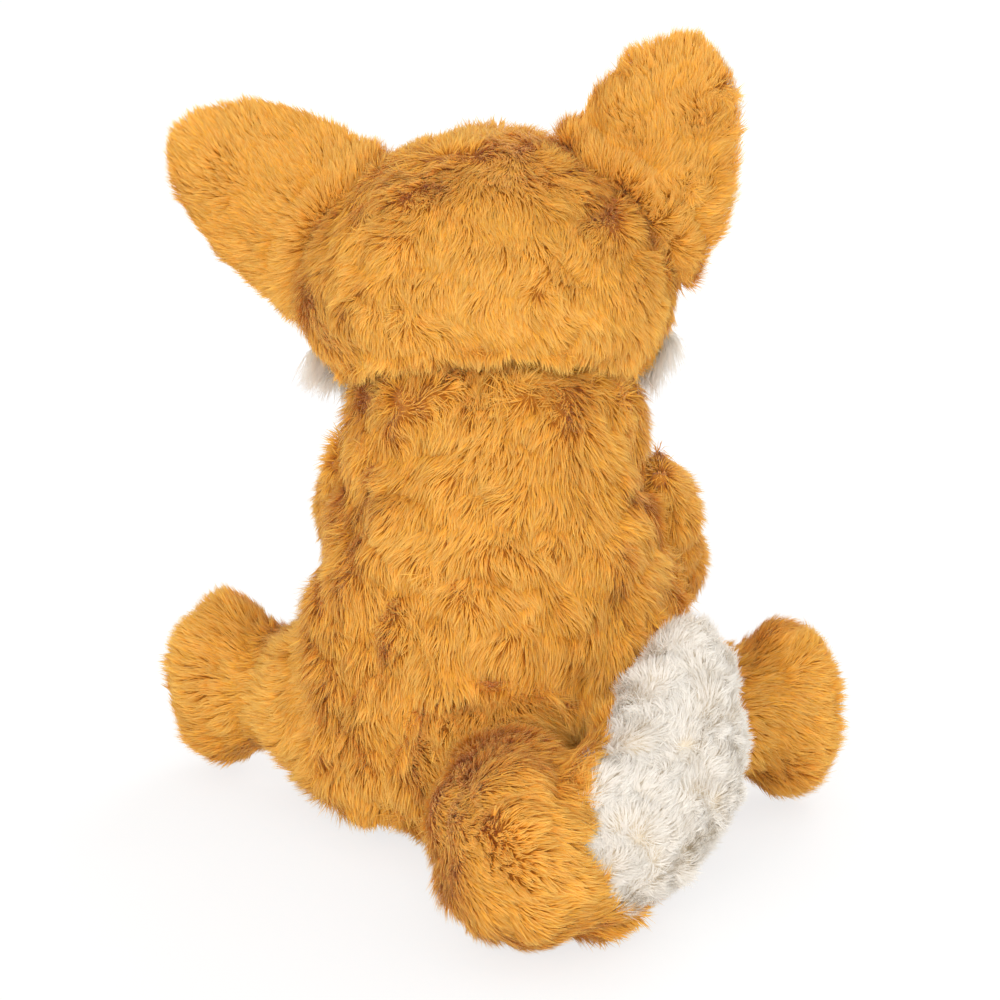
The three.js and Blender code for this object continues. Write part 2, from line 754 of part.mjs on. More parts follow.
// Head: two back panels, face, cheeks and chin round the stuffing, with eyes, nose and their washers
function makeHead() {
  const group = new THREE.Group();
  const wadSeat = socketRadius(chestRadius + gap);
  const matrices = [eyeMatrix(1), eyeMatrix(-1), noseMatrix()];
  const domes = [eyeDome, eyeDome, noseDome];
  let cuts = socket(chestRadius, new THREE.Vector3());
  for (const [, side] of leftAndRight) cuts = cuts.add(hemRoom(side));
  matrices.forEach((matrix, i) => {
    cuts = cuts.add(placed(domes[i](gap), matrix));
    cuts = cuts.add(placed(shank(gap), matrix)).add(placed(washerRoom(), matrix));
  });
  const shell = headForm(0).subtract(headForm(fabric)).subtract(cuts);
  const back = beyond(shell, towards.back, headSeam + gap / 2);
  const front = beyond(shell, towards.front, gap / 2 - headSeam);
  const white = beyond(front, towards.down, gap / 2 - whiteLine);
  const chinSide = chinWidth / 2;
  const chin = beyond(white, towards.right, gap / 2 - chinSide);
  group.add(
    meshOf("head_back_left", beyond(back, towards.left, gap / 2), orangePlush),
    meshOf("head_back_right", beyond(back, towards.right, gap / 2), orangePlush),
    meshOf("face_panel", beyond(front, towards.up, whiteLine + gap / 2), orangePlush),
    meshOf("cheek_left", beyond(white, towards.left, chinSide + gap / 2), whitePlush),
    meshOf("cheek_right", beyond(white, towards.right, chinSide + gap / 2), whitePlush),
    meshOf("chin_panel", beyond(chin, towards.left, gap / 2 - chinSide), whitePlush),
  );
  const wadTop = wadSeat + wadThickness;
  const wadRoom = lens(chestRadius - gap, wadTop + gap, wadAngle * deg + (2 * gap) / wadTop);
  const core = headForm(fabric + gap).subtract(cuts).subtract(wadRoom);
  group.add(meshOf("head_stuffing", core, stuffing));
  ["eye_left", "eye_right", "nose"].forEach((name, i) => {
    const moulding = placed(domes[i](0), matrices[i]).add(placed(shank(0), matrices[i]));
    group.add(meshOf(name, moulding, blackPlastic));
    group.add(meshOf(`${name}_washer`, placed(washer(), matrices[i]), washerPlastic));
  });
  group.add(meshOf("neck_wad", lens(wadSeat, wadTop, wadAngle * deg), stuffing));
  for (const [name, side] of leftAndRight) group.add(makeEar(name, side));
  group.position.copy(chestCentre);
  group.rotation.y = headTilt * deg;
  return group;
}

const fox = new THREE.Group();
fox.add(makeTorso(), makeHead(), makeTail());
for (const [name, side] of leftAndRight) fox.add(makeArm(name, side), makeLeg(name, side));

export default fox;
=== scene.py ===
# %% [markdown]
# A seated plush fox, seen from behind. The real toy is long-pile cloth sewn round loose stuffing, so
# almost everything that shows is pile: soft locks that lie one way, swirl, and gather into tufts.
# The packed model is the frame. It gives each sewn panel its place, and this script dresses it.

# %% Load the frame
import json
import math

import bmesh
import bpy
import numpy as np
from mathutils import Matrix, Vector, noise
from mathutils.bvhtree import BVHTree


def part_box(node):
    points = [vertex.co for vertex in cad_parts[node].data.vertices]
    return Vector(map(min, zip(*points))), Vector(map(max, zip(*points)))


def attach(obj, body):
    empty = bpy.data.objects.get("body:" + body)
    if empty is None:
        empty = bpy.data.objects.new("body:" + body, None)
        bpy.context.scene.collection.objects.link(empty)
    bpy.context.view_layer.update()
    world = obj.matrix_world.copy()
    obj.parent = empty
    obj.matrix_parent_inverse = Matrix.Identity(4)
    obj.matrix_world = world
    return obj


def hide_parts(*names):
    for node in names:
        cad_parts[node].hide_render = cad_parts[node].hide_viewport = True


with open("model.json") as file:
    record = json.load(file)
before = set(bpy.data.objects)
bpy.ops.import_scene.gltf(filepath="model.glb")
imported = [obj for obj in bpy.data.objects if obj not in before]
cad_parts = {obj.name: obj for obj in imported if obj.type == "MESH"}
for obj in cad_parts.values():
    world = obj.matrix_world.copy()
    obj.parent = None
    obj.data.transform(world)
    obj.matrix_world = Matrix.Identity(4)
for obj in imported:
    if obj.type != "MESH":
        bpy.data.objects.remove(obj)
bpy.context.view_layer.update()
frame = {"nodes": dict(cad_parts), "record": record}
MM = 0.001

# %% [markdown]
# The camera stands where the photographer stood: behind the fox, a little to its right and slightly
# above. A long lens keeps the head and the seat at nearly one scale.

# %% Set the camera
CAMERA_TURN = math.radians(188)
CAMERA_LIFT = math.radians(18)
CAMERA_DISTANCE = 1300 * MM
LOOKED_AT = Vector((0, 0, 128 * MM))
LENS = 120
SENSOR = 36
FRAME_SHIFT = 0.005


def set_camera():
    camera = bpy.data.objects.new("camera", bpy.data.cameras.new("camera"))
    bpy.context.scene.collection.objects.link(camera)
    back = Vector((
        math.sin(CAMERA_TURN) * math.cos(CAMERA_LIFT),
        -math.cos(CAMERA_TURN) * math.cos(CAMERA_LIFT),
        math.sin(CAMERA_LIFT),
    ))
    camera.location = LOOKED_AT + CAMERA_DISTANCE * back
    camera.rotation_euler = back.to_track_quat("Z", "Y").to_euler()
    camera.data.lens = LENS
    camera.data.sensor_width = SENSOR
    camera.data.shift_x = FRAME_SHIFT
    bpy.context.scene.camera = camera


set_camera()
print("the camera stands at", [round(value, 3) for value in bpy.context.scene.camera.location])

# %% [markdown]
# Nodes are easier to read when each line makes one of them. This helper adds a node to a tree, links
# or sets its inputs, and hands back the socket that the next line needs. It serves materials and
# geometry alike, because both have the same maths nodes.

# %% A helper that writes node trees


class Tree:
    def __init__(self, tree):
        self.tree = tree

    def add(self, kind, inputs=None, out=0, **settings):
        made = self.tree.nodes.new(kind)
        for name, value in settings.items():
            setattr(made, name, value)
        for key, value in (inputs or {}).items():
            if isinstance(value, bpy.types.NodeSocket):
                self.tree.links.new(value, made.inputs[key])
            else:
                made.inputs[key].default_value = value
        return made.outputs[out]

    def math(self, operation, *values, clamp=False):
        inputs = dict(enumerate(values))
        return self.add("ShaderNodeMath", inputs, operation=operation, use_clamp=clamp)

    def vector(self, operation, *values):
        out = "Value" if operation in ("DOT_PRODUCT", "LENGTH", "DISTANCE") else "Vector"
        inputs = dict(enumerate(values))
        return self.add("ShaderNodeVectorMath", inputs, out=out, operation=operation)

    def scaled(self, vector, factor):
        return self.add("ShaderNodeVectorMath", {0: vector, 3: factor}, operation="SCALE")

    def remap(self, value, low, high, new_low, new_high):
        inputs = {0: value, 1: low, 2: high, 3: new_low, 4: new_high}
        return self.add("ShaderNodeMapRange", inputs, interpolation_type="SMOOTHSTEP")


def new_group(name, kind, inputs, outputs):
    group = bpy.data.node_groups.new(name, kind)
    for way, sockets in (("INPUT", inputs), ("OUTPUT", outputs)):
        for socket, form in sockets:
            group.interface.new_socket(socket, in_out=way, socket_type="NodeSocket" + form)
    ends = group.nodes.new("NodeGroupInput"), group.nodes.new("NodeGroupOutput")
    return group, ends[0].outputs, ends[1].inputs


print("the helper writes", ", ".join(name for name in vars(Tree) if name[0] != "_"))

# %% [markdown]
# One lock of pile is a few fibres that cling together. It is a slim blade that bends over halfway, so
# its tip lies down on its neighbours, and that makes the coat look soft. It has only two faces,
# because the coat needs three quarters of a million of them. The value called along runs from 0 at
# the root to 1 at the tip, and the small map on it is the cell that it fills in the map of its coat.

# %% Model one lock of pile
LOCK_HEIGHT_SHARES = (0, 0.5, 1)
LOCK_WIDTH_SHARES = (0, 1, 0)
LOCK_ARCH_SHARE = 0.6
LOCK_MERGE_SHARE = 1e-4
CELL_RIM_SHARE = 0.12


def make_lock():
    shape = bmesh.new()
    rows = len(LOCK_HEIGHT_SHARES) - 1
    bmesh.ops.create_grid(shape, x_segments=1, y_segments=rows, size=0.5)
    for v in shape.verts:
        row = round((v.co.y + 0.5) * rows)
        height = LOCK_HEIGHT_SHARES[row]
        arch = LOCK_ARCH_SHARE * height * (1 - height)
        v.co = (v.co.x * LOCK_WIDTH_SHARES[row], arch, height)
    bmesh.ops.remove_doubles(shape, verts=shape.verts, dist=LOCK_MERGE_SHARE)
    shape.normal_update()
    if sum(face.normal.y for face in shape.faces) < 0:
        bmesh.ops.reverse_faces(shape, faces=shape.faces)
    cell = shape.loops.layers.uv.new("cell")
    room = 1 - 2 * CELL_RIM_SHARE
    for face in shape.faces:
        for loop in face.loops:
            across = 0.5 + room * loop.vert.co.x
            loop[cell].uv = (across, CELL_RIM_SHARE + room * loop.vert.co.z)
    mesh = bpy.data.meshes.new("lock")
    shape.to_mesh(mesh)
    shape.free()
    mesh.attributes.new("along", "FLOAT", "POINT").data.foreach_set(
        "value", [v.co.z for v in mesh.vertices])
    mesh.polygons.foreach_set("use_smooth", [True] * len(mesh.polygons))
    return bpy.data.objects.new("lock", mesh)


lock = make_lock()
print("one lock has", len(lock.data.polygons), "triangles")

# %% [markdown]
# Pile is painted darker and redder near its backing, as painted shade where little light gets in, and
# paler at its tips, as painted light on the tops of the locks. Each lock also differs a little from its
# neighbours, and each tuft from the next. One node group works that out for every colour of plush, and
# each material gives it its own root, middle and tip colours.

# %% The colour of pile
ROOT_ENDS_SHARES = (0.1, 0.55)
TIP_BEGINS_SHARES = (0.45, 1)
ODD_SHARES = {"tint": 0.4, "tuft": 0.2, "strand": 0.4}
HUE_SPREAD = 0.012
PILE_ROUGHNESS = (0.5, 0.72)
PILE_SPECULAR = 0.25
SHEEN_ROUGHNESS = 0.35
SHEEN_TINT = (1.0, 0.86, 0.66, 1)


def make_pile_shade():
    inputs = [("Root", "Color"), ("Middle", "Color"), ("Tip", "Color"), ("Spread", "Float")]
    group, given, wanted = new_group(
        "pile_shade", "ShaderNodeTree", inputs, [("Color", "Color"), ("Roughness", "Float")])
    t = Tree(group)

    def stored(name):
        return t.add("ShaderNodeAttribute", out="Fac", attribute_name=name)

    along = stored("along")
    tint = stored("tint")
    # Painted shade at the root and painted light at the tip: along blends the root, middle and tip
    # colours.
    low = t.add("ShaderNodeMix", {
        0: t.remap(along, *ROOT_ENDS_SHARES, 0, 1), 6: given["Root"], 7: given["Middle"],
    }, out=2, data_type="RGBA")
    high = t.add("ShaderNodeMix", {
        0: t.remap(along, *TIP_BEGINS_SHARES, 0, 1), 6: low, 7: given["Tip"],
    }, out=2, data_type="RGBA")
    odd = 0
    for name, share in ODD_SHARES.items():
        odd = t.math("ADD", odd, t.math("MULTIPLY", stored(name), share))
    value = t.math("ADD", 1, t.math("MULTIPLY", t.math("SUBTRACT", odd, 0.5), given["Spread"]))
    hue = t.math("ADD", 0.5, t.math("MULTIPLY", t.math("SUBTRACT", tint, 0.5), HUE_SPREAD))
    color = t.add("ShaderNodeHueSaturation", {
        "Hue": hue, "Saturation": 1, "Value": value, "Fac": 1, "Color": high})
    group.links.new(color, wanted["Color"])
    group.links.new(t.remap(tint, 0, 1, *PILE_ROUGHNESS), wanted["Roughness"])
    return group


pile_shade = make_pile_shade()


def pile_material(name, root, middle, tip, spread, sheen, seen_through):
    material = bpy.data.materials.new(name)
    material.use_nodes = True
    t = Tree(material.node_tree)
    shader = material.node_tree.nodes["Principled BSDF"]
    shade = material.node_tree.nodes.new("ShaderNodeGroup")
    shade.node_tree = pile_shade
    for socket, color in (("Root", root), ("Middle", middle), ("Tip", tip)):
        shade.inputs[socket].default_value = (*color, 1)
    shade.inputs["Spread"].default_value = spread
    t.tree.links.new(shade.outputs["Color"], shader.inputs["Base Color"])
    t.tree.links.new(shade.outputs["Roughness"], shader.inputs["Roughness"])
    shader.inputs["Sheen Weight"].default_value = sheen
    shader.inputs["Sheen Roughness"].default_value = SHEEN_ROUGHNESS
    shader.inputs["Sheen Tint"].default_value = SHEEN_TINT
    shader.inputs["Specular IOR Level"].default_value = PILE_SPECULAR
    through = t.add("ShaderNodeBsdfTranslucent", {"Color": shade.outputs["Color"]})
    both = t.add("ShaderNodeMixShader", {0: seen_through, 1: shader.outputs[0], 2: through})
    t.tree.links.new(both, material.node_tree.nodes["Material Output"].inputs["Surface"])
    return material


# Each row holds the painted shade at the roots, the middle colour and the painted light at the tips.
PILE = {
    "orange_plush": pile_material(
        "orange_pile", (0.62, 0.22, 0.017), (0.87, 0.435, 0.052), (0.90, 0.60, 0.155),
        spread=0.4, sheen=0.22, seen_through=0.32),
    "white_plush": pile_material(
        "white_pile", (0.94, 0.87, 0.75), (0.94, 0.90, 0.84), (0.94, 0.92, 0.88),
        spread=0.03, sheen=0.25, seen_through=0.5),
    "cream_plush": pile_material(
        "cream_pile", (0.78, 0.64, 0.44), (0.90, 0.81, 0.66), (0.95, 0.89, 0.78),
        spread=0.08, sheen=0.2, seen_through=0.4),
}
print("plush colours:", ", ".join(PILE))

# %% [markdown]
# Under the locks lies the backing cloth with its short, dense underfur. It shows only in the partings,
# so it is painted a deep warm colour, darker than the pile, as painted shade there. Its fine nap gets
# a mottled colour of its own and a felt-like bump.

# %% The backing under the pile
UNDERFUR_SCALE = 900
MOTTLE_SCALE = 120
MOTTLE_ENDS = (0.3, 0.7)
UNDERFUR_HEIGHT = 0.6 * MM
UNDERFUR_ROUGHNESS = (0.75, 1)


def backing_material(name, dark, light):
    material = bpy.data.materials.new(name)
    material.use_nodes = True
    t = Tree(material.node_tree)
    shader = material.node_tree.nodes["Principled BSDF"]
    place = t.add("ShaderNodeTexCoord", out="Object")
    nap = t.add("ShaderNodeTexNoise", {"Vector": place, "Scale": UNDERFUR_SCALE, "Detail": 4}, out=0)
    patch = t.add("ShaderNodeTexNoise", {"Vector": place, "Scale": MOTTLE_SCALE, "Detail": 3}, out=0)
    mixed = t.add("ShaderNodeMix", {
        0: t.remap(patch, *MOTTLE_ENDS, 0, 1), 6: (*dark, 1), 7: (*light, 1),
    }, out=2, data_type="RGBA")
    bump = t.add("ShaderNodeBump", {"Height": nap, "Distance": UNDERFUR_HEIGHT, "Strength": 0.8})
    t.tree.links.new(mixed, shader.inputs["Base Color"])
    t.tree.links.new(bump, shader.inputs["Normal"])
    t.tree.links.new(t.remap(nap, 0, 1, *UNDERFUR_ROUGHNESS), shader.inputs["Roughness"])
    shader.inputs["Sheen Weight"].default_value = 0.3
    shader.inputs["Specular IOR Level"].default_value = 0.1
    return material


# Both ends of each mottle are painted darker than their pile, as the shade in the partings.
BACKING = {
    "orange_plush": backing_material("orange_backing", (0.46, 0.18, 0.020), (0.60, 0.25, 0.030)),
    "white_plush": backing_material("white_backing", (0.78, 0.68, 0.52), (0.88, 0.80, 0.68)),
    "cream_plush": backing_material("cream_backing", (0.50, 0.34, 0.18), (0.70, 0.55, 0.36)),
}
print("backings:", ", ".join(material.name for material in BACKING.values()))

# %% [markdown]
# The coat is geometry nodes: points are scattered over the backing and each gets a lock. Many steps
# need an attribute of the skin, a noise of some size, a random value of the lock's own, or what is left
# of a vector along the cloth, so the helper learns these four first.

# %% A helper for the coat
COAT_INPUTS = [
    ("Geometry", "Geometry"), ("Lock", "Object"), ("Panel", "Int"), ("Spacing", "Float"),
    ("Length", "Float"), ("Width", "Float"), ("Lift", "Float"), ("Swirl Size", "Float"),
    ("Swirl", "Float"), ("Tuft Size", "Float"), ("Gather", "Float"), ("Stray", "Float"),
    ("Seed", "Int"), ("Material", "Material"),
]
NOISE_DETAIL = 1.5
NOISE_MIDDLE = (0.5, 0.5, 0.5)
DRAWS = {"lift": 1, "length": 2, "width": 3, "tint": 4, "roll": 5}


class CoatTree(Tree):
    def __init__(self, tree, given):
        super().__init__(tree)
        self.given = given

    def named(self, name, data_type="FLOAT"):
        return self.add("GeometryNodeInputNamedAttribute", {"Name": name}, data_type=data_type)

    def noise(self, size, offset):
        place = self.vector("ADD", self.add("GeometryNodeInputPosition"), (offset, offset, offset))
        inputs = {"Vector": place, "Scale": self.math("DIVIDE", 1, size), "Detail": NOISE_DETAIL}
        return self.add("ShaderNodeTexNoise", inputs, out=1)

    def chance(self, draw, low, high):
        seed = self.math("ADD", self.given["Seed"], DRAWS[draw])
        inputs = {2: low, 3: high, 8: seed}
        return self.add("FunctionNodeRandomValue", inputs, out=1, data_type="FLOAT")

    def along_cloth(self, vector, out):
        sticking_out = self.scaled(out, self.vector("DOT_PRODUCT", vector, out))
        return self.vector("SUBTRACT", vector, sticking_out)


print("the coat takes", len(COAT_INPUTS), "inputs and draws", len(DRAWS), "random values for a lock")

# %% [markdown]
# The roots stand at an even spacing, and where the value called pile is almost 0 there are none. A
# lock's way along the cloth starts as the nap that the panel was cut with, and broad and fine swirls
# turn it, as handling does. Where that way would point straight out of the cloth, the locks form a
# crown: they stray and stand up. Ruffled places stand up too, and where there is little room the locks
# lie down.

# %% Root the locks, lay them down and lift them
CROWDING = 1.6
BARE_ENDS = (0.02, 0.08)
FINE_SIZE_SHARE = 0.3
FINE_OFFSET = 3
FINE_SWIRL_SHARE = 0.65
CALM = (0.12, 0.6)
CROWN_STRAY = 0.9
CROWN_LIFT = 0.3
RUFFLED_LIFT = 0.65
LIFT_CHANCE = (-0.12, 0.16)
LEAST_LIFT = 0.1
LEAST_LIFT_SHARE = 0.45


def scatter_roots(t):
    """A point for each lock on the chosen panel, which keeps its way out of the cloth."""
    here = t.add(
        "FunctionNodeCompare", {2: t.named("panel", "INT"), 3: t.given["Panel"]},
        data_type="INT", operation="EQUAL")
    spacing = t.given["Spacing"]
    density = t.math("DIVIDE", CROWDING, t.math("MULTIPLY", spacing, spacing))
    scatter = t.tree.nodes.new("GeometryNodeDistributePointsOnFaces")
    scatter.distribute_method = "POISSON"
    for socket, value in (
        ("Mesh", t.given["Geometry"]), ("Selection", here), ("Distance Min", spacing),
        ("Density Max", density), ("Seed", t.given["Seed"]),
        ("Density Factor", t.remap(t.named("pile"), *BARE_ENDS, 0, 1)),
    ):
        t.tree.links.new(value, scatter.inputs[socket])
    return t.add("GeometryNodeStoreNamedAttribute", {
        "Geometry": scatter.outputs["Points"], "Name": "out", "Value": scatter.outputs["Normal"],
    }, data_type="FLOAT_VECTOR", domain="POINT")


def lay_down(t, out, any_way):
    """The way of each lock along the cloth, and how far it belongs to a crown."""
    swirl = t.vector("SUBTRACT", t.noise(t.given["Swirl Size"], 0), NOISE_MIDDLE)
    small = t.noise(t.math("MULTIPLY", t.given["Swirl Size"], FINE_SIZE_SHARE), FINE_OFFSET)
    small = t.vector("SUBTRACT", small, NOISE_MIDDLE)
    swirl = t.vector("ADD", swirl, t.scaled(small, FINE_SWIRL_SHARE))
    way = t.vector("ADD", t.named("nap", "FLOAT_VECTOR"), t.scaled(swirl, t.given["Swirl"]))
    level = t.along_cloth(way, out)
    crown = t.remap(t.vector("LENGTH", level), *CALM, 1, 0)
    stray = t.scaled(any_way, t.math("MULTIPLY", crown, CROWN_STRAY))
    level = t.vector("ADD", t.vector("NORMALIZE", level), stray)
    return t.vector("NORMALIZE", t.along_cloth(level, out)), crown


def lift_up(t, crown, ruffle):
    """The angle between each lock and the cloth."""
    room = t.named("pile")
    lift = t.math("ADD", t.given["Lift"], t.math("MULTIPLY", ruffle, RUFFLED_LIFT))
    lift = t.math("ADD", lift, t.chance("lift", *LIFT_CHANCE))
    lift = t.math("ADD", lift, t.math("MULTIPLY", crown, CROWN_LIFT))
    lift = t.math("MULTIPLY", lift, t.remap(room, 0, 1, LEAST_LIFT_SHARE, 1))
    lift = t.math("MULTIPLY", lift, t.math("MAXIMUM", room, 1))
    return t.math("MAXIMUM", lift, LEAST_LIFT)


print("chance lifts a lock by up to", round(math.degrees(LIFT_CHANCE[1])), "degrees")

# %% [markdown]
# The tips of a real coat cling together in tufts, and in finer strands within them. Each tip leans to
# the middle of its cell in a pattern of cells as large as a tuft, and again in one as large as a
# strand. The value called trim cuts a lock shorter, and where the pile has more room than usual it
# grows longer. Last, the locks are lit partly as the cloth under them, which makes the coat look soft.

# %% Gather, turn, size and soften the locks
STRAND_SHARE = 0.42
STRAND_GATHER = 0.52
ROLL = 0.6
LENGTH_CHANCE = (0.7, 1.12)
WIDTH_CHANCE = (0.65, 1.35)
ROOMY = 0.7
LEAST_LENGTH_SHARE = 0.85
LOWEST_PILE = 0.2 * MM
SOFTNESS = 0.42


def gathered(t, tip, out, size, share):
    """How far the tips lean to the middle of their tuft, and the tuft's own colour."""
    tuft = t.tree.nodes.new("ShaderNodeTexVoronoi")
    t.tree.links.new(t.scaled(tip, t.math("DIVIDE", 1, size)), tuft.inputs["Vector"])
    tuft.inputs["Scale"].default_value = 1
    pull = t.vector("SUBTRACT", t.scaled(tuft.outputs["Position"], size), tip)
    return t.scaled(t.along_cloth(pull, out), share), tuft.outputs["Color"]


def turned(t, reach, out):
    """The turn that points a lock along its reach, with a little roll about itself."""
    turn = t.add(
        "FunctionNodeAxesToRotation", {0: t.vector("NORMALIZE", reach), 1: out},
        primary_axis="Z", secondary_axis="Y")
    roll = t.add("ShaderNodeCombineXYZ", {2: t.chance("roll", -ROLL, ROLL)})
    roll = t.add("FunctionNodeEulerToRotation", {0: roll})
    return t.add("FunctionNodeRotateRotation", {0: turn, 1: roll}, rotation_space="LOCAL")


def sized(t):
    """The width and the length of each lock."""
    room = t.named("pile")
    length = t.math("MULTIPLY", t.given["Length"], t.chance("length", *LENGTH_CHANCE))
    length = t.math("MULTIPLY", length, t.remap(room, 0, ROOMY, LEAST_LENGTH_SHARE, 1))
    length = t.math("MULTIPLY", length, t.math("MAXIMUM", room, 1))
    length = t.math("MULTIPLY", length, t.named("trim"))
    width = t.math("MULTIPLY", t.given["Width"], t.chance("width", *WIDTH_CHANCE))
    return t.add("ShaderNodeCombineXYZ", {0: width, 1: length, 2: length})


def softened(t, locks):
    """The locks as one mesh that stays over the floor and is lit softly."""
    real = t.add("GeometryNodeRealizeInstances", {0: locks})
    place = t.add("GeometryNodeInputPosition")
    high = t.add("ShaderNodeSeparateXYZ", {0: place}, out="Z")
    flat = t.vector("MULTIPLY", place, (1, 1, 0))
    above = t.add("ShaderNodeCombineXYZ", {2: t.math("MAXIMUM", high, LOWEST_PILE)})
    real = t.add("GeometryNodeSetPosition", {
        "Geometry": real, "Position": t.vector("ADD", flat, above)})
    own = t.scaled(t.add("GeometryNodeInputNormal"), 1 - SOFTNESS)
    soft = t.vector("ADD", own, t.scaled(t.named("out", "FLOAT_VECTOR"), SOFTNESS))
    real = t.add("GeometryNodeSetMeshNormal", {
        "Mesh": real, "Custom Normal": t.vector("NORMALIZE", soft)}, mode="FREE", domain="POINT")
    return t.add("GeometryNodeSetMaterial", {"Geometry": real, "Material": t.given["Material"]})


print("a strand is", STRAND_SHARE, "of its tuft's size")

# %% [markdown]
# Put together, these steps are one group that every panel uses with its own values. Each lock also
# keeps a tint of its own, the shades of its tuft and its strand, and its number. The material reads the
# first three, and the number gives the lock its place in a map of the coat.

# %% The coat as geometry nodes
RUFFLE_SIZE_SHARE = 0.6
RUFFLE_OFFSET = 7
RUFFLE_ENDS = (0.42, 0.68)
CALM_GATHER_SHARE = 0.45


def make_coat():
    group, given, wanted = new_group(
        "coat", "GeometryNodeTree", COAT_INPUTS, [("Geometry", "Geometry")])
    group.is_modifier = True
    t = CoatTree(group, given)
    points = scatter_roots(t)
    out = t.named("out", "FLOAT_VECTOR")
    any_way = t.add("FunctionNodeRandomValue", {
        0: (-1, -1, -1), 1: (1, 1, 1), 8: given["Seed"]}, data_type="FLOAT_VECTOR")
    level, crown = lay_down(t, out, any_way)
    ruffle = t.noise(t.math("MULTIPLY", given["Swirl Size"], RUFFLE_SIZE_SHARE), RUFFLE_OFFSET)
    ruffle = t.remap(t.add("ShaderNodeSeparateXYZ", {0: ruffle}), *RUFFLE_ENDS, 0, 1)
    lift = lift_up(t, crown, ruffle)
    leaning = t.vector(
        "ADD", t.scaled(level, t.math("COSINE", lift)), t.scaled(out, t.math("SINE", lift)))
    tip = t.vector(
        "ADD", t.add("GeometryNodeInputPosition"), t.scaled(leaning, given["Length"]))
    pull = t.math("MULTIPLY", given["Gather"], t.remap(ruffle, 0, 1, CALM_GATHER_SHARE, 1))
    coarse, tuft_color = gathered(t, tip, out, given["Tuft Size"], pull)
    strand_size = t.math("MULTIPLY", given["Tuft Size"], STRAND_SHARE)
    fine, strand_color = gathered(t, tip, out, strand_size, STRAND_GATHER)
    reach = t.vector("ADD", leaning, t.scaled(any_way, given["Stray"]))
    reach = t.scaled(reach, given["Length"])
    reach = t.vector("ADD", reach, t.vector("ADD", coarse, fine))
    one = t.add("GeometryNodeObjectInfo", {"Object": given["Lock"]}, out="Geometry")
    locks = t.add("GeometryNodeInstanceOnPoints", {
        "Points": points, "Instance": one, "Rotation": turned(t, reach, out), "Scale": sized(t)})
    for name, value in (
        ("tint", t.chance("tint", 0, 1)),
        ("tuft", t.add("ShaderNodeSeparateXYZ", {0: tuft_color})),
        ("strand", t.add("ShaderNodeSeparateXYZ", {0: strand_color})),
        ("count", t.add("GeometryNodeInputIndex")),
    ):
        locks = t.add("GeometryNodeStoreNamedAttribute", {
            "Geometry": locks, "Name": name, "Value": value,
        }, data_type="FLOAT", domain="INSTANCE")
    group.links.new(softened(t, locks), wanted["Geometry"])
    return group


coat = make_coat()
print("the coat's group has", len(coat.nodes), "nodes")

# %% [markdown]
# Each stuffed part gets one backing: copies of its sewn panels and its stuffing are joined and
# remeshed into one soft skin, smoothed, and drawn in by some millimetres, so that the coat on it ends
# about where the frame's surface is. A later step keeps which panel each face belongs to, because
# panels differ in colour and nap.

# %% Make the backing of a stuffed part
STUFFED = {
    "torso": ["torso_back_left", "torso_back_right", "belly_panel", "seat_panel",
              "torso_stuffing", "pellet_pouch"],
    "head": ["head_back_left", "head_back_right", "face_panel", "cheek_left", "cheek_right",
             "chin_panel", "head_stuffing"],
    "tail": ["tail_upper", "tail_lower", "tail_tip", "tail_stuffing"],
}
for side in ("left", "right"):
    STUFFED[f"ear_{side}"] = [f"ear_{side}_back", f"ear_{side}_lining"]
    STUFFED[f"arm_{side}"] = [f"arm_{side}_outer", f"arm_{side}_inner", f"arm_{side}_stuffing"]
    STUFFED[f"leg_{side}"] = [f"leg_{side}_upper", f"leg_{side}_lower", f"leg_{side}_sole",
                              f"leg_{side}_stuffing"]
SLOTS = {part["node"]: part["material_slot"] for part in frame["record"]["subparts"]}
DRAW_IN = {"torso": 5, "head": 4.2, "tail": 3, "ear_left": 2.2, "ear_right": 2.2,
           "arm_left": 6, "arm_right": 6.2, "leg_left": 5.5, "leg_right": 5}
SKIN_VOXEL = 4 * MM
EAR_VOXEL = 2.5 * MM
SMOOTHING = 6
SMOOTHING_SHARE = 0.5
SAME_PLACE = 1e-3 * MM


def is_panel(node):
    return SLOTS[node].endswith("plush")


def tree_of(nodes):
    shape = bmesh.new()
    for name in nodes:
        shape.from_mesh(frame["nodes"][name].data)
    tree = BVHTree.FromBMesh(shape)
    shape.free()
    return tree


def finished_mesh(piece, name):
    """The mesh of a piece with its modifiers applied."""
    graph = bpy.context.evaluated_depsgraph_get()
    graph.update()
    mesh = bpy.data.meshes.new_from_object(
        piece.evaluated_get(graph), preserve_all_data_layers=True, depsgraph=graph)
    mesh.name = name
    return mesh


def make_skin(body, nodes, draw_in):
    shape = bmesh.new()
    for name in nodes:
        shape.from_mesh(frame["nodes"][name].data)
    bmesh.ops.remove_doubles(shape, verts=shape.verts, dist=SAME_PLACE)
    mesh = bpy.data.meshes.new(f"{body}_backing")
    shape.to_mesh(mesh)
    shape.free()
    skin = bpy.data.objects.new(f"{body}_backing", mesh)
    bpy.context.scene.collection.objects.link(skin)
    remesh = skin.modifiers.new("remesh", "REMESH")
    remesh.mode = "VOXEL"
    remesh.voxel_size = EAR_VOXEL if body.startswith("ear") else SKIN_VOXEL
    smooth = skin.modifiers.new("smooth", "SMOOTH")
    smooth.factor = SMOOTHING_SHARE
    smooth.iterations = SMOOTHING
    pull = skin.modifiers.new("draw_in", "DISPLACE")
    pull.mid_level = 0
    pull.strength = -draw_in
    skin.data = finished_mesh(skin, mesh.name)
    skin.modifiers.clear()
    return skin


skins = {}
for body, nodes in STUFFED.items():
    skins[body] = make_skin(body, nodes, DRAW_IN[body] * MM)
    print(body, "backing has", len(skins[body].data.polygons), "faces")

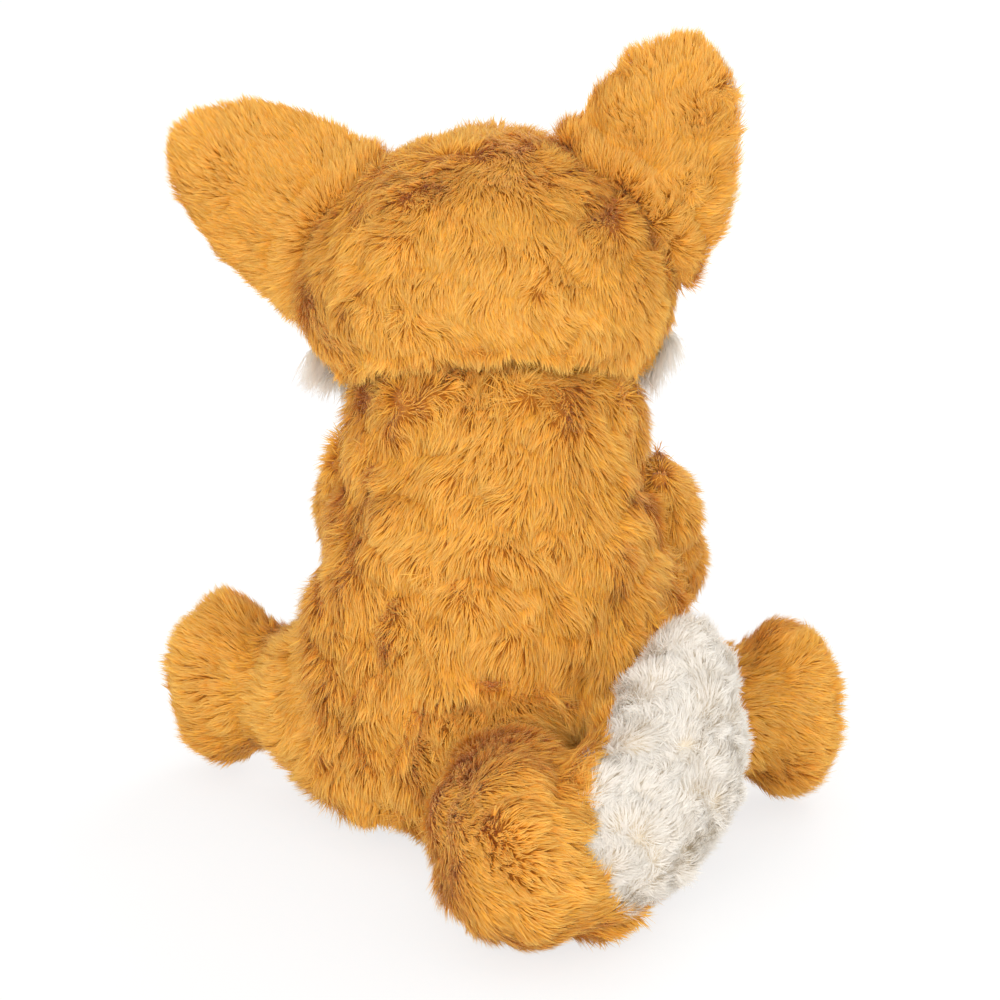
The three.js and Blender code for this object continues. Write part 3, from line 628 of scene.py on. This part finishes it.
# %% [markdown]
# Stuffing presses the cloth out from inside, more where it is free than where it is held, so the
# stuffed parts are blown up as cloth for twenty frames. A cap keeps each of them inside the room that
# the frame gives it. Loose stuffing is lumpy too, and the cloth on it bunches into puffs with sharp
# valleys between them: a slow noise makes the lumps, and the size of another, always above zero,
# makes the puffs.

# %% Swell the stuffed parts
PRESSURE = 4
SWELL_FRAMES = 20
SWELL_CAP = 2.5 * MM
LUMP_SIZE = 30 * MM
LUMP_HEIGHT = 3 * MM
PUFF_SIZE = 19 * MM
PUFF_HEIGHT = 7 * MM
PUFF_MEAN = 0.2
LUMPINESS = {"torso": 1, "head": 0.55, "tail": 0.75, "ear_left": 0.25, "ear_right": 0.7,
             "arm_left": 0.4, "arm_right": 0.4, "leg_left": 0.35, "leg_right": 0.35}
NO_MOVE = 1e-9


def places(mesh):
    found = np.zeros(3 * len(mesh.vertices), np.float32)
    mesh.vertices.foreach_get("co", found)
    return found.reshape(-1, 3)


def swell(pads):
    for pad in pads:
        cloth = pad.modifiers.new("cloth", "CLOTH")
        cloth.settings.use_pressure = True
        cloth.settings.uniform_pressure_force = PRESSURE
        cloth.settings.effector_weights.gravity = 0
        cloth.collision_settings.use_collision = False
        cloth.point_cache.frame_end = SWELL_FRAMES
    for number in range(1, SWELL_FRAMES + 1):
        bpy.context.scene.frame_set(number)
    for pad in pads:
        start = places(pad.data)
        blown = finished_mesh(pad, "blown")
        moved = places(blown) - start
        length = np.linalg.norm(moved, axis=1, keepdims=True)
        moved *= np.minimum(1, SWELL_CAP / np.maximum(length, NO_MOVE))
        pad.modifiers.clear()
        pad.data.vertices.foreach_set("co", (start + moved).ravel())
        pad.data.update()
        bpy.data.meshes.remove(blown)
        print(pad.name, "swelled by up to", round(float(length.max()) / MM, 1), "mm before the cap")
    bpy.context.scene.frame_set(1)


def add_lumps(pad, share):
    finer = pad.modifiers.new("finer", "SUBSURF")
    finer.levels = finer.render_levels = 1
    pad.data = finished_mesh(pad, pad.data.name)
    pad.modifiers.clear()
    moved = []
    for v in pad.data.vertices:
        lump = LUMP_HEIGHT * noise.noise(v.co / LUMP_SIZE)
        puff = PUFF_HEIGHT * (abs(noise.noise(v.co / PUFF_SIZE)) - PUFF_MEAN)
        moved.append(v.co + v.normal * share * (lump + puff))
    for vertex, place in zip(pad.data.vertices, moved):
        vertex.co = place
    pad.data.update()


swell([skin for body, skin in skins.items() if not body.startswith("ear")])
for body, skin in skins.items():
    add_lumps(skin, LUMPINESS[body])

# %% [markdown]
# The photographed ears are a little broader than the frame's, and one stands further out. Each ear's
# skin is widened across its middle line by a share, and set over by so many millimetres.

# %% Shape the ears
EAR_SHAPES = {
    "ear_left": {"widening": 0.13, "along": (0.75, 0, 0.65), "shift": (-1.5, 0, -1.5)},
    "ear_right": {"widening": 0.05, "along": (-0.45, 0, 0.9), "shift": (2.5, 0, 0)},
}


def shape_ear(body, widening, along, shift):
    along = Vector(along).normalized()
    across = along.cross(Vector((0, 1, 0)))
    mesh = skins[body].data
    middle = sum((v.co for v in mesh.vertices), Vector()) / len(mesh.vertices)
    for v in mesh.vertices:
        v.co += widening * (v.co - middle).dot(across) * across + Vector(shift) * MM
    mesh.update()
    print(body, "is now", [round(side / MM) for side in skins[body].dimensions], "mm")


for body, shape in EAR_SHAPES.items():
    shape_ear(body, **shape)

# %% [markdown]
# Where a limb, an ear or the tail is sewn on, its skin is let out again towards the part that carries
# it. Otherwise the two skins, both drawn in, would leave a gap that daylight shows through.

# %% Let the roots out
CARRIER = {"arm_left": "torso", "arm_right": "torso", "leg_left": "torso", "leg_right": "torso",
           "tail": "torso", "ear_left": "head", "ear_right": "head"}
ROOT_REACH = 10 * MM
ROOT_GROWTH = 4.5 * MM


def let_out(body, carrier):
    tree = tree_of(STUFFED[carrier])
    moved = []
    for v in skins[body].data.vertices:
        gap = tree.find_nearest(v.co, ROOT_REACH)[3]
        near = 0 if gap is None else 1 - gap / ROOT_REACH
        moved.append(v.co + ROOT_GROWTH * near * v.normal)
    for vertex, place in zip(skins[body].data.vertices, moved):
        vertex.co = place
    skins[body].data.update()
    print(body, "is let out towards the", carrier)


for body, carrier in CARRIER.items():
    let_out(body, carrier)

# %% [markdown]
# The nap of each part runs the way a hand would stroke it: down the back, out along the limbs, fanning
# to the tips of the ears, and round the curl of the tail. Beside some seams it turns and runs over
# them. Each row of the last table names a part, its neighbour, the way of the pile beside that seam,
# or None where it keeps its nap, and the millimetres that this reaches.

# %% Lay the nap
NAP = {
    "torso": (0, 0.2, -0.95), "head": (0, -0.1, -0.95),
    "ear_left": (0.5, 0, 0.8), "ear_right": (-0.2, 0, 0.95),
    "arm_left": (0, -0.5, -0.9), "arm_right": (0, -0.5, -0.9),
    "leg_left": (0.9, -0.3, 0), "leg_right": (-0.9, -0.3, 0),
}
NAP_OF_PANEL = {
    "tail_tip": (-0.3, -0.4, 0.9),
    "cheek_left": (0.6, 0.5, -1), "cheek_right": (-0.6, 0.5, -1),
}
EAR_ROOT_REACH = 8 * MM
EAR_FAN = 1.3
TAIL_CURL_MIDDLE = Vector((-34, 60, 0)) * MM
TAIL_FALL = -0.1
OVER_SEAM = [
    ("torso", "head", (-0.8, -0.2, 0.5), 15), ("torso", "arm_right", (-0.5, 0.5, -0.7), 16),
    ("torso", "arm_left", (0.5, 0.5, -0.7), 16), ("torso", "leg_left", (0.5, 0.6, -0.7), 24),
    ("torso", "leg_right", (-0.5, 0.6, -0.7), 24), ("torso", "tail", (-0.2, 0.3, -0.9), 26),
    ("tail", "torso", None, 20), ("head", "torso", (0, -0.3, -1.0), 20),
    ("arm_left", "torso", None, 12), ("arm_right", "torso", None, 12),
    ("leg_left", "torso", (0.9, 0.2, -0.3), 20), ("leg_right", "torso", (-0.9, 0.2, -0.3), 20),
    ("head", "ear_left", (0.8, 0.3, 0.7), 14), ("head", "ear_right", (-0.5, 0.3, 0.9), 14),
    ("ear_left", "head", None, 14), ("ear_right", "head", None, 14),
]


def nap_of(body, mesh):
    """The way of the pile at each corner of a skin, before the seams turn it."""
    if body == "tail":
        arm = places(mesh) - np.array(TAIL_CURL_MIDDLE)
        arm[:, 2] = 0
        arm /= np.linalg.norm(arm, axis=1, keepdims=True)
        round_curl = np.stack([-arm[:, 1], arm[:, 0], 0 * arm[:, 0] + TAIL_FALL], 1)
        return round_curl.astype(np.float32)
    nap = np.tile(np.array(NAP[body], np.float32), (len(mesh.vertices), 1))
    if body.startswith("ear"):
        head = tree_of(STUFFED["head"])
        seam = [v.co for v in mesh.vertices if head.find_nearest(v.co, EAR_ROOT_REACH)[0]]
        root = sum(seam, Vector()) / len(seam)
        fan = places(mesh) - np.array(root)
        nap += EAR_FAN * fan / np.linalg.norm(fan, axis=1, keepdims=True)
    return nap


def seams_of(body, mesh):
    """Each corner near a seam: its number, how near it is, and the way of the pile there."""
    for name, neighbour, way, reach in OVER_SEAM:
        if name == body:
            tree = tree_of(STUFFED[neighbour])
            for vertex in mesh.vertices:
                gap = tree.find_nearest(vertex.co, reach * MM)[3]
                if gap is not None:
                    yield vertex.index, 1 - gap / (reach * MM), way


print("the pile runs over", len(OVER_SEAM), "seams")

# %% [markdown]
# Pile needs room. A ray from each point finds a neighbouring part that lies close, and there the locks
# lie down, so that coats meet in a crease. Over the seams and along the skirt above the floor the pile
# is longer and hides what joins there. Round the eyes and the nose it is cut back as a toy maker trims
# it, and the front of the cheeks is cut short too, so that the white ends in a line at the mouth.

# %% Give the pile its room
LEAST_OVER_SEAM = 0.7
LONGER_OVER_SEAM = 0.6
SKIRT_HEIGHT = 26 * MM
SKIRT_FACING = -0.6
LONGER_IN_SKIRT = 0.5
FREE_REACH = 14 * MM
FACE_TRIM = 17 * MM
FACE_BARE_SHARE = 0.1
LEAST_TRIM = 0.35
CHEEK_FRONT = -52 * MM
CHEEK_BACK = -24 * MM
TRIMMED_ROUND = {"head": ["eye_left", "eye_right", "nose"]}


def centre_of(node):
    low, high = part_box(node)
    return (low + high) / 2


def room_of(body, mesh):
    """The values called pile and trim at each corner of a skin."""
    others = tree_of([n for b, nodes in STUFFED.items() if b != body for n in nodes])
    middles = [centre_of(node) for node in TRIMMED_ROUND.get(body, [])]
    pile = []
    trim = np.ones(len(mesh.vertices), np.float32)
    for vertex in mesh.vertices:
        hit = others.ray_cast(vertex.co, vertex.normal, FREE_REACH)[3]
        share = 1 if hit is None else hit / FREE_REACH
        if vertex.co.z < SKIRT_HEIGHT and vertex.normal.z > SKIRT_FACING and hit is None:
            share += LONGER_IN_SKIRT * (1 - vertex.co.z / SKIRT_HEIGHT)
        for middle in middles:
            far = (vertex.co - middle).length / FACE_TRIM
            share = min(share, far - FACE_BARE_SHARE)
            trim[vertex.index] = min(trim[vertex.index], LEAST_TRIM + (1 - LEAST_TRIM) * far)
        pile.append(max(share, 0))
    return pile, trim


print("pile is trimmed round", ", ".join(TRIMMED_ROUND["head"]))

# %% [markdown]
# Now the skins are combed: each face finds its nearest panel, each corner gets its nap, room and trim,
# and the white tip of the tail is drawn in a little, because its coat is the fullest. The skins are
# also lifted off the floor by a hair.

# %% Comb the skins
TIP_DRAW_IN = 3 * MM
TIP_SEAM_SHIFT = 3 * MM
FLOOR_CLEARANCE = 0.3 * MM


def nearest_panels(panels, mesh):
    trees = [tree_of([name]) for name in panels]
    owner = []
    for face in mesh.polygons:
        gaps = [tree.find_nearest(face.center)[3] for tree in trees]
        gaps = [gap + TIP_SEAM_SHIFT * (name == "tail_tip") for gap, name in zip(gaps, panels)]
        owner.append(gaps.index(min(gaps)))
    return owner


def store_combing(body, mesh, panels, owner):
    nap = nap_of(body, mesh)
    pile, trim = room_of(body, mesh)
    for index, near, way in seams_of(body, mesh):
        if way:
            nap[index] = np.array(way) * near + nap[index] * (1 - near)
        pile[index] = max(pile[index], LEAST_OVER_SEAM + LONGER_OVER_SEAM * near)
    for face in mesh.polygons:
        panel = panels[owner[face.index]]
        if panel in NAP_OF_PANEL:
            nap[list(face.vertices)] = NAP_OF_PANEL[panel]
        if panel.startswith("cheek"):
            for index in face.vertices:
                far = (mesh.vertices[index].co.y - CHEEK_FRONT) / (CHEEK_BACK - CHEEK_FRONT)
                trim[index] = LEAST_TRIM + (1 - LEAST_TRIM) * min(max(far, 0), 1)
                pile[index] = 1
    mesh.attributes.new("panel", "INT", "FACE").data.foreach_set("value", owner)
    mesh.attributes.new("pile", "FLOAT", "POINT").data.foreach_set("value", pile)
    mesh.attributes.new("trim", "FLOAT", "POINT").data.foreach_set("value", trim)
    mesh.attributes.new("nap", "FLOAT_VECTOR", "POINT").data.foreach_set("vector", nap.ravel())


def comb(body, skin):
    panels = [name for name in STUFFED[body] if is_panel(name)]
    mesh = skin.data
    owner = nearest_panels(panels, mesh)
    store_combing(body, mesh, panels, owner)
    tip = {i for f in mesh.polygons if panels[owner[f.index]] == "tail_tip" for i in f.vertices}
    moved = {i: mesh.vertices[i].co - TIP_DRAW_IN * mesh.vertices[i].normal for i in tip}
    for index, place in moved.items():
        mesh.vertices[index].co = place
    for vertex in mesh.vertices:
        vertex.co.z = max(vertex.co.z, FLOOR_CLEARANCE)
    slots = sorted({SLOTS[name] for name in panels})
    for name in slots:
        mesh.materials.append(BACKING[name])
    mesh.polygons.foreach_set("material_index", [slots.index(SLOTS[panels[i]]) for i in owner])
    mesh.polygons.foreach_set("use_smooth", [True] * len(owner))
    print(body, "is combed for", ", ".join(panels))
    return panels


panels_of = {body: comb(body, skin) for body, skin in skins.items()}

# %% [markdown]
# Every panel now grows its own coat. Long pile covers the back and the belly, and it is a little
# shorter on the head and the limbs, and shorter still on the ears, their linings and the soles. The
# tail's tip is short too but stands up in fluffy whorls, and the cheeks have by far the longest locks.

# %% Grow the coats
LONG = {"length": 10.5 * MM, "spacing": 0.45 * MM, "width": 0.42 * MM, "lift": 0.26,
        "swirl_size": 34 * MM, "swirl": 3.7, "tuft_size": 5 * MM, "gather": 0.5, "stray": 0.08}
LIMB = {"length": 9 * MM, "spacing": 0.37 * MM, "width": 0.38 * MM, "swirl": 3}
HEAD = {"length": 8.3 * MM, "spacing": 0.35 * MM, "width": 0.36 * MM, "gather": 0.42}
FLUFFY = {"length": 7.5 * MM, "spacing": 0.33 * MM, "width": 0.38 * MM, "lift": 0.3,
          "swirl_size": 13 * MM, "swirl": 8, "tuft_size": 4.5 * MM, "gather": 0.45, "stray": 0.16}
CHEEK = {"length": 22 * MM, "spacing": 0.25 * MM, "width": 0.6 * MM, "lift": 0.5, "swirl": 3,
         "tuft_size": 8 * MM}
SHORT = {"length": 7 * MM, "swirl": 1.2, "tuft_size": 4 * MM}
EAR = {"length": 7 * MM, "spacing": 0.28 * MM, "width": 0.33 * MM, "tuft_size": 3.5 * MM,
       "swirl": 3, "swirl_size": 26 * MM}
COATS = {
    "tail_tip": FLUFFY,
    "cheek_left": CHEEK, "cheek_right": CHEEK,
    "chin_panel": {"length": 9 * MM, "spacing": 0.65 * MM},
    "seat_panel": {**SHORT, "spacing": 1.2 * MM, "width": 1.5 * MM},
    "face_panel": {**SHORT, "length": 9 * MM, "spacing": 0.6 * MM},
    "ear_left_back": EAR, "ear_right_back": {**EAR, "length": 8 * MM, "swirl": 6},
    "head_back_left": HEAD, "head_back_right": HEAD,
    "tail_upper": LIMB, "tail_lower": LIMB,
    "arm_left_outer": LIMB, "arm_left_inner": LIMB, "arm_right_outer": LIMB,
    "arm_right_inner": LIMB, "leg_left_upper": LIMB, "leg_left_lower": LIMB,
    "leg_right_upper": LIMB, "leg_right_lower": LIMB,
    "ear_left_lining": SHORT, "ear_right_lining": SHORT,
    "leg_left_sole": SHORT, "leg_right_sole": SHORT,
}
SETTING = {"length": "Length", "spacing": "Spacing", "width": "Width", "lift": "Lift",
           "swirl_size": "Swirl Size", "swirl": "Swirl", "tuft_size": "Tuft Size",
           "gather": "Gather", "stray": "Stray"}


def map_cells(mesh):
    """Gives each lock its own cell in a square map, for a texture of the coat."""
    count = np.zeros(len(mesh.vertices), np.float32)
    mesh.attributes["count"].data.foreach_get("value", count)
    corner = np.zeros(len(mesh.loops), np.int32)
    mesh.loops.foreach_get("vertex_index", corner)
    inside = np.zeros(2 * len(mesh.loops), np.float32)
    mesh.attributes["cell"].data.foreach_get("vector", inside)
    inside = inside.reshape(-1, 2)
    side = math.ceil(math.sqrt(count.max() + 1))
    number = count[corner]
    cells = np.stack([number % side, number // side], 1)
    mesh.attributes.remove(mesh.attributes["cell"])
    layer = mesh.uv_layers.new(name="OFBake")
    layer.data.foreach_set("uv", ((cells + inside) / side).astype(np.float32).ravel())


def grow(body, index, panel, seed):
    piece = bpy.data.objects.new(f"{panel}_pile", skins[body].data)
    bpy.context.scene.collection.objects.link(piece)
    values = {**LONG, **COATS.get(panel, {})}
    modifier = piece.modifiers.new("coat", "NODES")
    modifier.node_group = coat
    settings = {SETTING[name]: value for name, value in values.items()}
    settings.update({
        "Lock": lock, "Panel": index, "Seed": seed, "Material": PILE[SLOTS[panel]]})
    for item in coat.interface.items_tree:
        if item.in_out == "INPUT" and item.name in settings:
            modifier[item.identifier] = settings[item.name]
    mesh = finished_mesh(piece, piece.name)
    piece.modifiers.clear()
    piece.data = mesh
    map_cells(mesh)
    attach(piece, body)
    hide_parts(panel)
    return piece


piles = {}
seed = 0
for body, panels in panels_of.items():
    for index, panel in enumerate(panels):
        seed += 10
        piles[panel] = grow(body, index, panel, seed)
        print(panel, "has", len(piles[panel].data.polygons), "triangles")
print("all coats:", sum(len(p.data.polygons) for p in piles.values()))

for body, skin in skins.items():
    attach(skin, body)
    inner = [name for name in STUFFED[body] if not is_panel(name)]
    if inner:
        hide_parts(*inner)

# %% [markdown]
# Between head and torso lies a loose wad of the same polyester fibre that fills the toy. It is hidden
# unless the head nods, and gets the pale matted look of fibre fill.

# %% Make the wad in the neck
WAD_DRAW_IN = 1 * MM
WAD_LUMPINESS = 0.25
FIBRE_PALE = (0.90, 0.89, 0.87, 1)
FIBRE_SHADE = (0.74, 0.72, 0.69, 1)
FIBRE_SCALE = 700
FIBRE_BEND_SCALE = 90
FIBRE_BEND = 20 * MM
FIBRE_ENDS = (0.3, 0.7)
FIBRE_HEIGHT = 0.8 * MM


def fibre_material():
    material = bpy.data.materials.new("fibre_fill")
    material.use_nodes = True
    t = Tree(material.node_tree)
    shader = material.node_tree.nodes["Principled BSDF"]
    place = t.add("ShaderNodeTexCoord", out="Object")
    bent = t.add("ShaderNodeTexNoise", {
        "Vector": place, "Scale": FIBRE_BEND_SCALE, "Detail": 2}, out=1)
    along = t.vector("ADD", place, t.scaled(bent, FIBRE_BEND))
    strands = t.add("ShaderNodeTexNoise", {"Vector": along, "Scale": FIBRE_SCALE, "Detail": 5}, out=0)
    mixed = t.add("ShaderNodeMix", {
        0: t.remap(strands, *FIBRE_ENDS, 0, 1), 6: FIBRE_SHADE, 7: FIBRE_PALE,
    }, out=2, data_type="RGBA")
    bump = t.add("ShaderNodeBump", {"Height": strands, "Distance": FIBRE_HEIGHT, "Strength": 0.9})
    t.tree.links.new(mixed, shader.inputs["Base Color"])
    t.tree.links.new(bump, shader.inputs["Normal"])
    shader.inputs["Roughness"].default_value = 0.9
    shader.inputs["Sheen Weight"].default_value = 0.4
    return material


wad = make_skin("neck", ["neck_wad"], WAD_DRAW_IN)
add_lumps(wad, WAD_LUMPINESS)
wad.data.materials.append(fibre_material())
wad.data.polygons.foreach_set("use_smooth", [True] * len(wad.data.polygons))
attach(wad, "neck")
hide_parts("neck_wad")
print("the wad has", len(wad.data.polygons), "faces")

# %% [markdown]
# Safety eyes and nose are moulded plastic: a polished dome in front, a shank through the cloth, and a
# washer pushed on from inside. The plastic has faint smudges, so its shine isn't even, and the washers
# are the same plastic without its colour, and duller.

# %% Mix the plastic
SMUDGE_SCALE = 260
SMUDGE_ENDS = (0.35, 0.7)
DULL_ENDS = (0.3, 0.75)
DULLER = 0.12
PALER = 1.35
GRAIN_SCALE = 2600
GRAIN_HEIGHT = 0.02 * MM
COAT_ROUGHNESS = 0.05


def plastic_material(name, color, roughness, coat):
    material = bpy.data.materials.new(name)
    material.use_nodes = True
    t = Tree(material.node_tree)
    shader = material.node_tree.nodes["Principled BSDF"]
    place = t.add("ShaderNodeTexCoord", out="Object")
    smudge = t.add("ShaderNodeTexNoise", {"Vector": place, "Scale": SMUDGE_SCALE, "Detail": 3}, out=0)
    grain = t.add("ShaderNodeTexNoise", {"Vector": place, "Scale": GRAIN_SCALE, "Detail": 2}, out=0)
    paler = [PALER * value for value in color]
    shade = t.add("ShaderNodeMix", {
        0: t.remap(smudge, *SMUDGE_ENDS, 0, 1), 6: (*color, 1), 7: (*paler, 1),
    }, out=2, data_type="RGBA")
    bump = t.add("ShaderNodeBump", {"Height": grain, "Distance": GRAIN_HEIGHT, "Strength": 0.3})
    t.tree.links.new(shade, shader.inputs["Base Color"])
    dull = t.remap(smudge, *DULL_ENDS, roughness, roughness + DULLER)
    t.tree.links.new(dull, shader.inputs["Roughness"])
    t.tree.links.new(bump, shader.inputs["Normal"])
    shader.inputs["Coat Weight"].default_value = coat
    shader.inputs["Coat Roughness"].default_value = COAT_ROUGHNESS
    return material


BLACK_PLASTIC = plastic_material(
    "polished_black_plastic", (0.014, 0.011, 0.010), roughness=0.12, coat=0.5)
WASHER_PLASTIC = plastic_material(
    "natural_washer_plastic", (0.56, 0.55, 0.52), roughness=0.42, coat=0)
print("plastics:", BLACK_PLASTIC.name, "and", WASHER_PLASTIC.name)

# %% [markdown]
# The frame's domes are coarse, so smooth ones take their place. An eye is spun from a half profile,
# shank and all. The nose is a ball that is flattened, tapered and dented by two nostrils. Each sits
# where its washer holds it in the frame, and its front ends where the frame's dome ends.

# %% Mould the eyes and the nose
EYE_RADIUS = 7 * MM
EYE_HEIGHT = 5 * MM
EYE_PROFILE_SHARES = [
    (0, 1), (0.2, 0.985), (0.4, 0.925), (0.6, 0.81), (0.78, 0.64), (0.92, 0.4), (1, 0.12),
    (0.97, 0.02), (0.34, 0), (0.34, -1.75), (0, -1.75),
]
TURN_STEPS = 40
NOSE_SIZE = (10.4 * MM, 6.5 * MM, 4.5 * MM)
NOSE_TURN_STEPS = 48
NOSE_TAPER_SHARE = 0.16
NOSTRIL_DEPTH = 0.9 * MM
NOSTRIL_PLACE_SHARES = ((-0.42, -0.2), (0.42, -0.2))
NOSTRIL_SIZE_SHARE = 0.2
CORNER_DIGITS = 6


def corners_of(node):
    """The distinct corners of a node, as an array."""
    return np.unique(np.round(places(frame["nodes"][node].data), CORNER_DIGITS), axis=0)


def seat_of(node):
    """Where a moulding sits: the middle of its shank's washer, its way out, and its widest way."""
    middle = corners_of(f"{node}_washer").mean(0)
    corners = corners_of(node)
    out = corners.mean(0) - middle
    out /= np.linalg.norm(out)
    flat = corners - corners.mean(0)
    flat -= np.outer(flat @ out, out)
    wide = np.linalg.svd(flat, full_matrices=False)[2][0]
    wide *= np.sign(wide[0])
    front = float(((corners - middle) @ out).max())
    return Vector(middle), Vector(out), Vector(wide), front


def finish_moulding(shape, node):
    middle, out, wide, front = seat_of(node)
    bmesh.ops.remove_doubles(shape, verts=shape.verts, dist=SAME_PLACE)
    bmesh.ops.recalc_face_normals(shape, faces=shape.faces)
    high = max(v.co.z for v in shape.verts)
    up = out.cross(wide)
    for v in shape.verts:
        v.co = middle + v.co.x * wide + v.co.y * up + (v.co.z - high + front) * out
    mesh = bpy.data.meshes.new(f"{node}_moulding")
    shape.to_mesh(mesh)
    shape.free()
    mesh.polygons.foreach_set("use_smooth", [True] * len(mesh.polygons))
    mesh.materials.append(BLACK_PLASTIC)
    piece = bpy.data.objects.new(mesh.name, mesh)
    bpy.context.scene.collection.objects.link(piece)
    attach(piece, "head")
    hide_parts(node)
    for slot in frame["nodes"][f"{node}_washer"].material_slots:
        slot.material = WASHER_PLASTIC
    print(piece.name, "has", len(mesh.polygons), "faces")


def spin_eye():
    shape = bmesh.new()
    line = [shape.verts.new((r * EYE_RADIUS, 0, z * EYE_HEIGHT)) for r, z in EYE_PROFILE_SHARES]
    edges = [shape.edges.new(pair) for pair in zip(line, line[1:])]
    bmesh.ops.spin(
        shape, geom=[*line, *edges], cent=(0, 0, 0), axis=(0, 0, 1), angle=math.tau,
        steps=TURN_STEPS, use_merge=True)
    return shape


def shape_nose():
    shape = bmesh.new()
    bmesh.ops.create_uvsphere(
        shape, u_segments=NOSE_TURN_STEPS, v_segments=NOSE_TURN_STEPS // 2, radius=1)
    for v in shape.verts:
        x, y, z = v.co
        dent = sum(
            math.exp(-((x - a) ** 2 + (y - b) ** 2) / NOSTRIL_SIZE_SHARE ** 2)
            for a, b in NOSTRIL_PLACE_SHARES)
        wide = 1 - NOSE_TAPER_SHARE * (1 - y)
        v.co = (x * wide * NOSE_SIZE[0], y * NOSE_SIZE[1],
                z * NOSE_SIZE[2] - (NOSTRIL_DEPTH * dent if z > 0 else 0))
    return shape


for node in ("eye_left", "eye_right"):
    finish_moulding(spin_eye(), node)
finish_moulding(shape_nose(), "nose")

# %% [markdown]
# The floor and the lamps are a plain studio. The photograph's ground is white with a faint warm shadow
# under the toy, so the floor answers the camera with part of its own white and part of the light that
# falls on it. A broad lamp behind the camera shapes the fur, a weaker one in front of the toy reaches
# its face, and the sky fills the shadows.

# %% Light the studio
FLOOR_SIZE = 12
FLOOR_COLOR = (0.93, 0.92, 0.91, 1)
FLOOR_GLOW_SHARE = 0.75
SKY = 0.97
LAMP_SIZE = 1.1
LAMPS = {
    "key": {"place": (-0.1, 1.95, 0.75), "power": 23},
    "face": {"place": (-0.6, -1.6, 1.1), "power": 14},
}


def make_floor():
    shape = bmesh.new()
    bmesh.ops.create_grid(shape, x_segments=1, y_segments=1, size=FLOOR_SIZE / 2)
    mesh = bpy.data.meshes.new("floor")
    shape.to_mesh(mesh)
    shape.free()
    floor = bpy.data.objects.new("floor", mesh)
    bpy.context.scene.collection.objects.link(floor)
    material = bpy.data.materials.new("floor_paper")
    material.use_nodes = True
    t = Tree(material.node_tree)
    shader = material.node_tree.nodes["Principled BSDF"]
    shader.inputs["Base Color"].default_value = FLOOR_COLOR
    shader.inputs["Roughness"].default_value = 0.9
    seen = material.node_tree.nodes.new("ShaderNodeLightPath")
    rays = t.math("MAXIMUM", seen.outputs["Is Camera Ray"], seen.outputs["Is Glossy Ray"])
    rays = t.math("MAXIMUM", rays, seen.outputs["Is Transmission Ray"])
    white = t.add("ShaderNodeEmission", {"Color": (1, 1, 1, 1), "Strength": 1})
    mixed = t.add("ShaderNodeMixShader", {
        0: t.math("MULTIPLY", rays, FLOOR_GLOW_SHARE), 1: shader.outputs[0], 2: white})
    end = material.node_tree.nodes["Material Output"]
    material.node_tree.links.new(mixed, end.inputs["Surface"])
    mesh.materials.append(material)


def make_sky():
    world = bpy.data.worlds.new("studio")
    bpy.context.scene.world = world
    world.use_nodes = True
    t = Tree(world.node_tree)
    back = world.node_tree.nodes["Background"]
    back.inputs["Color"].default_value = (1, 1, 1, 1)
    seen = world.node_tree.nodes.new("ShaderNodeLightPath")
    rays = t.math("MAXIMUM", seen.outputs["Is Camera Ray"], seen.outputs["Is Glossy Ray"])
    rays = t.math("MAXIMUM", rays, seen.outputs["Is Transmission Ray"])
    t.tree.links.new(t.remap(rays, 0, 1, SKY, 1), back.inputs["Strength"])


def make_lamp(name, place, power):
    lamp = bpy.data.lights.new(name, "AREA")
    lamp.energy = power
    lamp.size = LAMP_SIZE
    lit = bpy.data.objects.new(name, lamp)
    lit.location = place
    lit.rotation_euler = (Vector(place) - LOOKED_AT).to_track_quat("Z", "Y").to_euler()
    bpy.context.scene.collection.objects.link(lit)
    print("the lamp called", name, "has", power, "watts")


make_floor()
make_sky()
for name, lamp in LAMPS.items():
    make_lamp(name, **lamp)
bpy.context.scene.view_settings.view_transform = "Standard"
